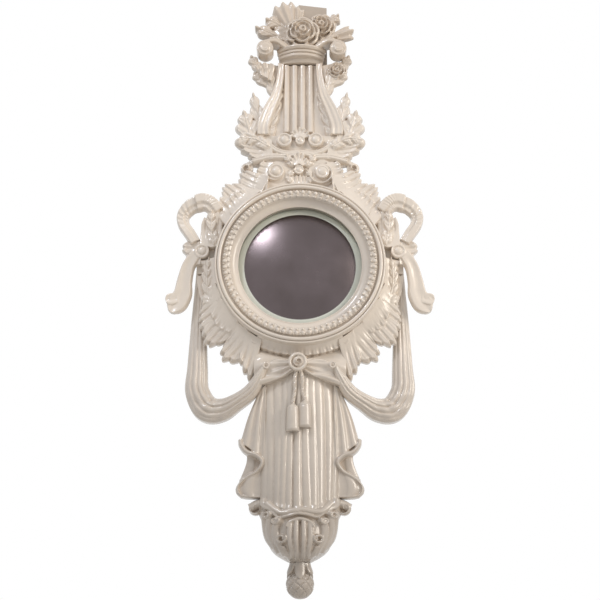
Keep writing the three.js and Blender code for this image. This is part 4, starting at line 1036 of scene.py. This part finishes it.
# %% Ribbon loops, knots and tails
BED = FRONT + GROUND + 0.3
LOOP_RISE = [
    (150, 106, 14, BED, 18),
    (162, 121, 15, BED, 20),
    (176, 127, 16, FRONT + 6, 21),
    (189, 124, 16, FRONT + 6, 21),
]
LOOP_FALL = [
    (182, 126, 15, FRONT + 4, 18),
    (199, 119, 14, FRONT + 4, 18),
    (212, 103, 12, FRONT + 2, 18),
    (211, 85, 11, FRONT + 3, 18),
    (200, 67, 11, FRONT + 6, 17),
    (188, 48, 10, BED, 16),
]
TAIL_LINE = [
    (186, 26, 11, BED, 16),
    (200, 2, 12, FRONT + 6, 16),
    (206, -26, 14, FRONT + 6, 15),
    (209, -50, 17, FRONT + 5, 15),
    (220, -70, 19, FRONT + 5, 14),
    (229, -84, 15, FRONT + 6, 13),
]
LOBE_LINE = [
    (216, -58, 10, FRONT + 6, 12),
    (228, -60, 12, FRONT + 6, 14),
    (238, -62, 10, FRONT + 7, 13),
]
KNOT = (176, 29)


def strap_face(across, along):
    """A flat strap, higher along its outer edge, with rounded rims and fine creases."""
    step = 0.2 * ease(across * 3 + 1.2)
    crease = 0.05 * math.sin(along * 70 + across * 4) * hump(along, 0.4, 0.2)
    roll = 0.5 * ease(abs(across) * 6 - 5)
    return 0.75 + step - crease - roll


def tail_face(across, along):
    channel = 0.16 * hump(across, 0.1, 0.45) * ease(along * 5)
    roll = 0.5 * ease(abs(across) * 6 - 5)
    return 0.92 - channel - roll


def ribbon_loop():
    return [band(LOOP_RISE, strap_face, 18, 50), band(LOOP_FALL, strap_face, 18, 90)]


def ribbon_tail():
    parts = [band(TAIL_LINE, tail_face, 20, 70, finger_end), band(LOBE_LINE, tail_face, 14, 24, finger_end)]
    return parts + [boss(*KNOT, 13.5, 26, 0.6)]


carve_pair("ribbon_loop", ribbon_loop)
carve_pair("ribbon_tail", ribbon_tail)

# %% [markdown]
# ## Festoons
# A length of gathered cloth hangs from each knot, turns inwards below and comes forward to a pin beside the
# rosette. Four narrow grooves run its whole length, and creases cross them where it bends.

# %% Festoons
FESTOON_BACK = 3
FESTOON_LINE = [
    (176, 26, 10, FESTOON_BACK, 17),
    (179, -40, 11, FESTOON_BACK, 18),
    (180, -100, 14, FESTOON_BACK, 19),
    (180, -180, 18, FESTOON_BACK, 26),
    (179, -222, 21, FESTOON_BACK + 1, 30),
    (162, -253, 23, FESTOON_BACK + 2, 32),
    (136, -257, 20, FESTOON_BACK + 6, 32),
    (110, -246, 15, FRONT - 2, 29),
    (86, -230, 13, FRONT + 7, 28),
    (71, -208, 10, FRONT + 15, 25),
    (61, -189, 5, FRONT + 22, 20),
]
PLEATS = ((-0.62, 0.09), (-0.15, 0.07), (0.34, 0.1), (0.72, 0.06))


def festoon_face(across, along):
    bulge = math.sqrt(max(0, 1 - (across * 0.95) ** 2))
    groove = sum(hump(across, at + 0.06 * math.sin(along * 6), wide) for at, wide in PLEATS)
    crease = 0.03 * math.sin(across * 4 + along * 90) * hump(along, 0.5, 0.1)
    return 0.2 + 0.74 * bulge**0.8 - 0.11 * groove * bulge + crease


carve_pair("festoon", lambda: [band(FESTOON_LINE, festoon_face, 40, 130)], soften=1)

# %% [markdown]
# ## The pendant's cloth
# Cloth is pinned at two corners and gathered by a rosette, so its wrinkles run to the rosette. Below it a
# curtain falls in deep folds, and its ends zigzag down at the sides.

# %% Gathered cloth
SWAG_HALF = 80
SWAG_EDGES = [(-80, -134, -224), (-58, -149, -217), (-28, -158, -207), (-4, -161, -196)]
SWAG_EDGES += [(22, -158, -205), (54, -149, -216), (80, -134, -226)]
SWAG_LINE = smooth_line(SWAG_EDGES)  # x with the cloth's top and foot there
PINS = ((-58, -188), (56, -187))
ROSETTE = (-4, -184)


def swag():
    def place(across, along, up):
        x, top, foot = SWAG_LINE((across + 1) / 2)
        y = mix(top, foot, along)
        if not up:
            return x, y, FRONT
        away = abs(across)
        rise = 13 + 23 * ease(along * 2) * (1 - 0.45 * away**3)
        fan_angle = math.atan2(y - ROSETTE[1], abs(x - ROSETTE[0]) + 2)
        wrinkle = 1.9 * math.sin(fan_angle * 17 + 2.6 * away) * ease(away * 6) * ease(along * 4)
        hem = 3.5 * hump(along, 0.93, 0.06) - 2 * hump(along, 0.82, 0.05)
        return x, y, FRONT + rise + wrinkle + hem

    under_ring = [[polar(angle, r) for angle in (-119, -105, -90, -75, -61)] for r in (RING - 1, RING + 17)]
    parts = [slab(110, 50, place)]
    parts += fan(*under_ring, 13, 36, lift=-9, notch=0.1, groove=0.07)
    for x, y in PINS:
        z = FRONT + 38
        rim = curve((4.6, z + 2), (1.8, 2), 0, 330, 10)
        parts.append(turned(rim, 24, (x, y, 0), closed=True))
        side = 1 if x > 0 else -1
        fold = [(ROSETTE[0] + 12 * side, -182), (x - 24 * side, -178), (x - 4 * side, -182)]
        parts.append(finger(*fold, (3, 5, 4), FRONT + 24, (13, 13, 12)))
        fold = [(ROSETTE[0] + 10 * side, -190), (x - 26 * side, -197), (x + 4 * side, -203)]
        parts.append(finger(*fold, (3, 5, 5), FRONT + 24, (12, 11, 9)))
    return parts


carve("carved_swag", swag(), ["pendant_swag"], voxel=0.9, soften=1)

# %% Curtain
CURTAIN_HALF = 66
CURTAIN_FOOT = -SURROUND - 252
FOLD_TOPS = (-63, -53, -40, -28, -17, -2, 12, 22, 34, 48, 61)


def fold(x, along):
    """Height of the folds at x: round tubes with narrow valleys, which wander a little on their way down."""
    x += 2.6 * math.sin(along * 2.6 + x * 0.07)
    gap = min(abs(x - top) for top in FOLD_TOPS) / 7
    return math.sqrt(max(0.0, 1 - min(1, gap) ** 2)) + 0.12 * math.sin(x * 0.21 + along * 3)


def curtain():
    def place(across, along, up):
        x = across * mix(CURTAIN_HALF - 2, CURTAIN_HALF + 1, along)
        top = float(SWAG_LINE((x / SWAG_HALF + 1) / 2)[2]) + 8
        foot = CURTAIN_FOOT - 2 - 24 * (1 - across * across)
        y = mix(top, foot, along)
        if not up:
            return x, y, FRONT
        middle = 1 - across * across
        roll = 3 * hump(along, 0.985, 0.02) + 12 * middle * ease(along * 1.6 - 0.6)
        body = FRONT + 12 + 17 * middle + 4 * along * middle
        return x, y, body + 5.5 * fold(x, along) * ease(along * 4 + 0.3) + roll

    return [slab(150, 70, place)]


carve("carved_curtain", curtain(), ["pendant_drapery"], soften=1)

# %% [markdown]
# Each end of the curtain is a stack of pockets: the cloth folds back on itself, so its hem runs in an S and
# shows a triangle of the fold behind. An upper flap, a sunk pocket and a lower flap overlap, and thick rolled
# hems edge them.

# %% Cascades
def hanging(left, right, low, height, folds):
    """A layer of cloth between a left and a right edge, each a list of (x, y) from its top."""
    left_line, right_line = smooth_line(left), smooth_line(right)

    def place(across, along, up):
        u = (across + 1) / 2
        x, y = mix(left_line(along), right_line(along), u)
        wave = math.cos(TAU * folds * u + 0.5 * along)
        crest = math.copysign(abs(wave) ** 0.7, wave)
        return x, y, low + (height * (1 - 0.3 * u * u) + 1.8 * crest * ease(along * 2 + 0.2) if up else 0)

    return slab(32, 40, place)


HEM_LINE = [
    (101, -311, 5, FRONT + 2, 16),
    (99, -322, 5, FRONT + 3, 17),
    (90, -333, 5, FRONT + 4, 18),
    (73, -340, 4.5, FRONT + 6, 20),
    (63, -352, 5, FRONT + 7, 21),
    (72, -366, 4.5, FRONT + 4, 19),
    (86, -374, 4.5, FRONT + 2, 17),
    (100, -383, 5, FRONT + 1, 15),
]


def cascade():
    inner = [(57, -216), (58, -300), (58, -350), (58, -404)]
    bed = hanging(inner, [(70, -227), (98, -306), (90, -344), (104, -386)], FRONT, 11, 1.2)
    upper_edge = [(70, -226), (88, -270), (101, -316)]
    upper = hanging([(58, -216), (59, -280), (60, -347)], upper_edge, FRONT, 21, 2.4)
    lower_edge = [(72, -362), (97, -379), (107, -391), (107, -402), (99, -410)]
    lower = hanging([(57, -354), (57, -372), (57, -388), (58, -402), (60, -410)], lower_edge, FRONT, 18, 1.6)
    foot = [(58, -408, 3, FRONT, 17), (80, -409, 3, FRONT, 17), (97, -407, 3, FRONT, 17)]
    foot += [(104, -399, 3, FRONT, 17), (103, -389, 3, FRONT, 17), (94, -379, 3, FRONT, 18)]
    return [bed, upper, lower, band(HEM_LINE, rounded, 10, 80), band(foot, rounded, 8, 60)]


carve_pair("drapery_cascade", cascade, soften=1)

# %% [markdown]
# ## Rosette and tassels
# The rosette is a coil in a plain rim. Two cords with a rope twist fall from it, and each tassel is a smooth
# round bell with a flat foot.

# %% Pendant rosette
SWAG_FRONT = FRONT + 44


def rosette():
    x, y = ROSETTE
    rim = curve((13.5, SWAG_FRONT + 5), (3, 4), 0, 330, 12)
    core = [(0, FRONT + 30), (15, FRONT + 30), (15, SWAG_FRONT + 3), (0, SWAG_FRONT + 5)]
    parts = [turned(rim, 32, (x, y, 0), closed=True), turned(core, 32, (x, y, 0))]
    return parts + coil(x + 1, y, 9.5, SWAG_FRONT + 2, 10, 1.3)


carve("carved_rosette", rosette(), ["pendant_rosette"], voxel=0.8, soften=1)


# %% Tassels
def tassel(x, top, foot, seat, cord_x):
    over = SWAG_FRONT - 4
    cord = [(x * 0.3 - 2, ROSETTE[1] - 12, 3.4, over, 6), (cord_x, -212, 3.6, over, 6)]
    cord += [(cord_x, -232, 3.6, seat - 2, 7), (x, top + 4, 3.6, seat, 7), (x, top - 3, 3.6, seat, 8)]

    def rope(across, along):
        return rounded(across, along) * (0.8 + 0.2 * math.cos(TAU * (along * 8 + across * 0.45)))

    def place(across, along, up):
        shoulder = math.sqrt(max(0.05, 1 - max(0, (0.22 - along) / 0.23) ** 2))
        half = 11.5 * shoulder * mix(0.9, 1, along)
        dome = math.sqrt(max(0, 1 - (across * 0.96) ** 2))
        deep = 13 * dome * shoulder * (1 - 0.25 * ease(along * 14 - 13))
        collar = 0.8 * hump(along, 0.2, 0.03)
        return x + across * half, mix(top, foot, along), seat + (deep - collar if up else 0)

    return [band(cord, rope, 10, 100), slab(24, 40, place)]


TASSEL_SEAT = FRONT + 37
carve("carved_tassel_left", tassel(-12, -256, -303, TASSEL_SEAT, -9), ["tassel_left"], voxel=0.8, soften=1)
carve("carved_tassel_right", tassel(8, -250, -296, TASSEL_SEAT - 2, 4), ["tassel_right"], voxel=0.8, soften=1)

# %% [markdown]
# ## The leaf cup
# The curtain is gathered into a cup of acanthus. A tall leaf in two ribbed halves stands in the middle under
# a rounded arch, narrower leaves with curled tops beside it, the curtain's hem rolls over the rim, and a
# curled ear stands at each side.

# %% Leaf cup
CUP_HALF = 69
CUP_TOP = CURTAIN_FOOT + 2
CUP_DEPTH = 104
CUP_FOOT = CUP_TOP - CUP_DEPTH
AXIS = FRONT + 6
CUP_DROPS = (0, 0.2, 0.27, 0.35, 0.5, 0.62, 0.72, 0.81, 0.88, 0.94, 1)
CUP_WIDTHS = (1, 1, 0.985, 0.92, 0.86, 0.81, 0.76, 0.69, 0.59, 0.45, 0.27)


def cup_point(angle, y, out=0.0):
    """A point on the cup: angle 0 looks forward, and out stands proud of the surface."""
    t = clamp((CUP_TOP - y) / CUP_DEPTH)
    half = CUP_HALF * float(np.interp(t, CUP_DROPS, CUP_WIDTHS))
    deep = mix(0.5, 1, ease(t))
    return (half + out) * math.sin(angle), y, AXIS + (deep * half + out) * math.cos(angle)


def on_cup(points, face, columns=10, rows=40, taper=None):
    """A band over the cup. points are (x, y, half width, height above the surface)."""
    line = smooth_line(points)

    def place(across, along, up):
        half, height = line(along)[2:]
        x, y = beside(line, along, across * half * (taper(along) if taper else 1))
        t = clamp((CUP_TOP - y) / CUP_DEPTH)
        radius = CUP_HALF * float(np.interp(t, CUP_DROPS, CUP_WIDTHS))
        angle = math.asin(max(-0.995, min(0.995, x / radius)))
        return cup_point(angle, y, height * face(across, along) if up else -4)

    return slab(columns, rows, place)


def cup_leaves(side):
    """The ribs and scrolls on one half of the cup, drawn for the right-hand side."""
    ribs = [
        [(5.5, -452, 4.5, 9), (6, -480, 4.5, 8), (4, -514, 3, 5)],
        [(15, -455, 5, 9), (16, -480, 5, 7), (11, -512, 3.5, 5)],
        [(36, -450, 6, 9), (38, -476, 5.5, 7), (24, -508, 4, 4)],
        [(47, -442, 5, 9), (48, -474, 5, 6), (34, -504, 4, 4)],
        [(57, -436, 4, 8), (53, -474, 4, 6), (42, -496, 3, 4)],
        [(27, -494, 4, 6), (22, -504, 4, 5), (14, -513, 3, 4)],
    ]
    curls = [((36, -452), 6.5, 12), ((50, -441), 6.5, 11), ((28, -481), 8, 9)]
    parts = [on_cup([(x * side, y, half, high) for x, y, half, high in rib], rounded) for rib in ribs]
    for (x, y), radius, high in curls:
        line = []
        for i in range(14):
            dx, dy = polar(150 + 34 * i, radius * (1 - 0.055 * i))
            line.append(((x + dx) * side, y + dy, 2.4, high - 0.2 * i))
        parts.append(on_cup(line, rounded, 6, 60))
    return parts


def leaf_cup():
    def shell(across, along, up):
        angle = across * 1.6
        x, y, z = cup_point(angle, mix(CUP_TOP, CUP_FOOT, along), 0 if up else -6)
        return (x, y, z) if up else (x * 0.96, y, 1.2)

    arch = [(-20, -463), (-15, -455), (0, -450), (15, -455), (20, -463)]
    rim = [(-52, -421), (-42, -430), (-28, -439), (-12, -436), (4, -434), (20, -437), (34, -436), (50, -421)]
    lip = [(-46, -432), (-34, -446), (-20, -445), (-4, -441), (12, -443), (28, -446), (42, -434)]
    parts = [slab(90, 60, shell)]
    parts.append(on_cup([(x, y, 3.6, 10) for x, y in arch], rounded, 10, 50))
    parts.append(on_cup([(x, y, 5.5, 9) for x, y in rim], rounded, 10, 90))
    parts.append(on_cup([(x, y, 3, 7) for x, y in lip], rounded, 8, 80))
    for side in (1, -1):
        parts += cup_leaves(side)
        parts += coil(side * (CUP_HALF + 5), CUP_TOP - 15, 12, FRONT, 22, 1.1)
        ear = [(side * 84, -428), (side * 66, -420), (side * 46, -428)]
        parts.append(finger(*ear, (9, 8, 7), FRONT, (17, 22, 30)))
        hook = [(60, -414, 5, 6), (56, -426, 5, 8), (46, -432, 5, 8), (42, -442, 4, 6)]
        parts.append(on_cup([(side * x, *rest) for x, *rest in hook], rounded, 8, 40))
    return parts


carve("carved_cup", leaf_cup(), ["leaf_cup"], voxel=0.9, soften=1)

# %% [markdown]
# ## Ball finial
# A neck of petals holds a ball that is cut all over into small diamonds, like a fir cone.

# %% Ball finial
BALL_RADIUS = 22.6
BALL_DROP = 35


def cut_ball():
    sphere = bmesh.new()
    bmesh.ops.create_uvsphere(sphere, u_segments=128, v_segments=64, radius=BALL_RADIUS)
    for vert in sphere.verts:
        around = math.atan2(vert.co.y, vert.co.x)
        down = math.acos(max(-1, min(1, vert.co.z / BALL_RADIUS)))
        cuts = (abs(math.sin(4 * around + turn * 4.5 * down)) for turn in (1, -1))
        depth = max(hump(cut, 0, 0.25) for cut in cuts)
        vert.co *= 1.03 - 0.11 * depth * math.sin(down)
    upright = Matrix.Rotation(math.pi / 2, 3, "X")
    bmesh.ops.rotate(sphere, verts=sphere.verts[:], cent=(0, 0, 0), matrix=upright)
    bmesh.ops.translate(sphere, verts=sphere.verts[:], vec=(0, CUP_FOOT - BALL_DROP, AXIS))
    return sphere


def neck_petal(angle, drop):
    def place(across, along, up):
        around = angle + across * 0.5 * math.sqrt(max(0.03, 1 - along**2.2))
        r = mix(15.5, 21, ease(along)) + 1.5 * math.cos(across * 1.5) + (1.5 if up else -6)
        return r * math.sin(around), CUP_FOOT - drop * along, AXIS + r * math.cos(around)

    return slab(12, 14, place)


def finial():
    profile = [(0, 0.3), (15, 0.3), (16.5, -4), (17, -10), (14, -18), (0, -18)]
    neck = [(r, CUP_FOOT + y) for r, y in profile]
    parts = [turned(neck, 40, (0, 0, AXIS), (0, 1, 0)), cut_ball()]
    return parts + [neck_petal(TAU * i / 6, 27 if i % 2 == 0 else 20) for i in range(6)]


carve("carved_finial", finial(), ["ball_finial"], voxel=0.7, soften=1)

# %% [markdown]
# ## Boards and fittings
# The boards are planed softwood, lacquered at the front and the edges and bare behind. A plank's grain is
# long streaks a few millimetres wide, so noise is stretched along the board. The fittings keep their packed
# shapes.

# %% Boards, hardboard, metal and rubber
UNCLEANED = 0.35  # share of grey on the boards' edges, which no duster reaches
GLOSS_DRIFT = 0.1


def make_board_material():
    material, tree, shader, at = new_material("lacquered board, bare behind")
    speckle = add(tree, "TexNoise", Vector=at, Scale=90.0, Detail=4.0, Roughness=0.6)
    colour, varnish_and_shade = lacquer_colour(tree, at, speckle)
    stretched = add(tree, "Mapping", Vector=at, Scale=(160, 160, 7))
    grain = add(tree, "TexNoise", Vector=stretched, Scale=1.0, Detail=5.0, Roughness=0.65)
    tones = [(0.3, "#8d6b43"), (0.5, "#b79468"), (0.72, "#c9aa7e")]
    wood = add(tree, "ValToRGB", {"stops": tones}, Fac=grain)
    depth = add(tree, "SeparateXYZ", out="Y", Vector=at)
    behind = add(tree, "MapRange", Value=depth, From_Min=-0.0022, From_Max=-0.0016)
    for share, tint in ((UNCLEANED, linear(SHADE_AND_DUST_GREY)), (behind, wood)):
        colour = add(tree, "Mix", {"data_type": "RGBA"}, 2, _0=share, _6=colour, _7=tint)
    lacquer_surface(tree, shader, at, colour, varnish_and_shade, speckle, coat=0.2)
    return material


def make_plain_material(name, scale, dark, light, roughness, metallic=0.0):
    """A material whose colour and gloss drift between two values."""
    material, tree, shader, at = new_material(name)
    drift = add(tree, "TexNoise", Vector=at, Scale=scale, Detail=4.0, Roughness=0.65)
    colour = add(tree, "ValToRGB", {"stops": [(0.33, dark), (0.67, light)]}, Fac=drift)
    low, high = roughness - GLOSS_DRIFT, roughness + GLOSS_DRIFT
    rough = add(tree, "MapRange", Value=drift, From_Min=0.3, From_Max=0.7, To_Min=low, To_Max=high)
    tree.links.new(colour, shader.inputs["Base Color"])
    tree.links.new(rough, shader.inputs["Roughness"])
    shader.inputs["Metallic"].default_value = metallic
    return material


board = make_board_material()
hardboard = make_plain_material("brown hardboard", 420.0, "#5f452d", "#86653f", 0.8)
brass = make_plain_material("stamped brass", 300.0, "#8d6d33", "#c6a35c", 0.35, 1.0)
steel = make_plain_material("zinc-plated steel", 300.0, "#7f8184", "#b4b5b4", 0.38, 1.0)
rubber = make_plain_material("moulded bumper rubber", 180.0, "#33302e", "#4a4643", 0.75)

FITTINGS = {
    "ring_carcass": board,
    "spine_board": board,
    "dowel": board,
    "packing_ring": hardboard,
    "backing_board": hardboard,
    "turn_button_screw": steel,
    "turn_button": brass,
    "hanger": steel,
    "wall_bumper": rubber,
}


def dress_fittings():
    dressed = 0
    for name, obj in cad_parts.items():
        finish = next((made for word, made in FITTINGS.items() if word in name), None)
        if finish:
            obj.data.materials.clear()
            obj.data.materials.append(finish)
            dressed += 1
    print("fittings dressed:", dressed)


dress_fittings()

# %% [markdown]
# ## Stage, light and camera
# The photo was taken from below, about two metres away, so the camera stands low and looks up. A small lamp
# high on the left gives the highlights and shows in the glass as a glow, a broad one on the right opens the
# shadows, and a pale surround, darker towards the floor, does the rest.

# %% Surround and floor
def make_surround():
    world = bpy.data.worlds.new("pale studio")
    bpy.context.scene.world = world
    world.use_nodes = True
    tree = world.node_tree
    tree.nodes.clear()
    path = tree.nodes.new("ShaderNodeLightPath").outputs
    seen = path["Is Camera Ray"]
    for ray in ("Is Transmission Ray", "Is Glossy Ray"):
        seen = add(tree, "Math", {"operation": "MAXIMUM"}, _0=seen, _1=path[ray])
    way = add(tree, "TexCoord", out="Generated")
    height = add(tree, "SeparateXYZ", out="Z", Vector=way)
    level = add(tree, "MapRange", Value=height, From_Min=-1.0)
    light = add(tree, "ValToRGB", {"stops": [(0.15, "#4f4b47"), (0.75, "#f4f5f8")]}, Fac=level)
    lit = add(tree, "Background", Color=light, Strength=0.75)
    shown = add(tree, "Background", Color=(1, 1, 1, 1), Strength=1.0)
    both = add(tree, "MixShader", Fac=seen, _1=lit, _2=shown)
    output = tree.nodes.new("ShaderNodeOutputWorld")
    tree.links.new(both, output.inputs["Surface"])


FLOOR_HALF = 1.8
FLOOR_CENTRE = (0, -1, -1.5)


def make_floor():
    bm = bmesh.new()
    bmesh.ops.create_grid(bm, x_segments=1, y_segments=1, size=FLOOR_HALF)
    bmesh.ops.translate(bm, verts=bm.verts[:], vec=FLOOR_CENTRE)
    mesh = bpy.data.meshes.new("floor")
    bm.to_mesh(mesh)
    bm.free()
    floor = bpy.data.objects.new("floor", mesh)
    bpy.context.scene.collection.objects.link(floor)
    floor.data.materials.append(make_plain_material("pale floor", 3.0, "#eceae6", "#f4f2ee", 0.8))


make_surround()
make_floor()


# %% Lamps and camera
def add_lamp(name, place, aim, size, power, colour, shape="RECTANGLE"):
    data = bpy.data.lights.new(name, "AREA")
    data.shape = shape
    data.size, data.size_y = size
    data.energy = power
    data.color = linear(colour)[:3]
    lamp = bpy.data.objects.new(name, data)
    bpy.context.scene.collection.objects.link(lamp)
    lamp.location = place
    lamp.rotation_euler = (Vector(aim) - Vector(place)).to_track_quat("-Z", "Y").to_euler()


CAMERA_BACK = 1.9253  # metres in front of the wall
CAMERA_BELOW = 0.7004  # metres below the middle of the glass
CAMERA_TILT = 18.694  # degrees up from level
LENS = 67.57


def add_camera():
    data = bpy.data.cameras.new("camera")
    data.sensor_width = 36
    data.lens = LENS
    camera = bpy.data.objects.new("camera", data)
    bpy.context.scene.collection.objects.link(camera)
    camera.location = (0, -CAMERA_BACK, GLASS_HEIGHT * MM - CAMERA_BELOW)
    camera.rotation_euler = (math.radians(90 + CAMERA_TILT), 0, 0)
    bpy.context.scene.camera = camera


MIDDLE = (0, 0, GLASS_HEIGHT * MM)
add_lamp("key", (-0.92, -1.43, 1.37), MIDDLE, (0.42, 0.42), 16.5, "#f3f6ff", "ELLIPSE")
add_lamp("fill", (2.3, -1.5, 0.5), MIDDLE, (1.2, 1.2), 36, "#fff6ea")
add_camera()
bpy.context.scene.view_settings.view_transform = "Standard"
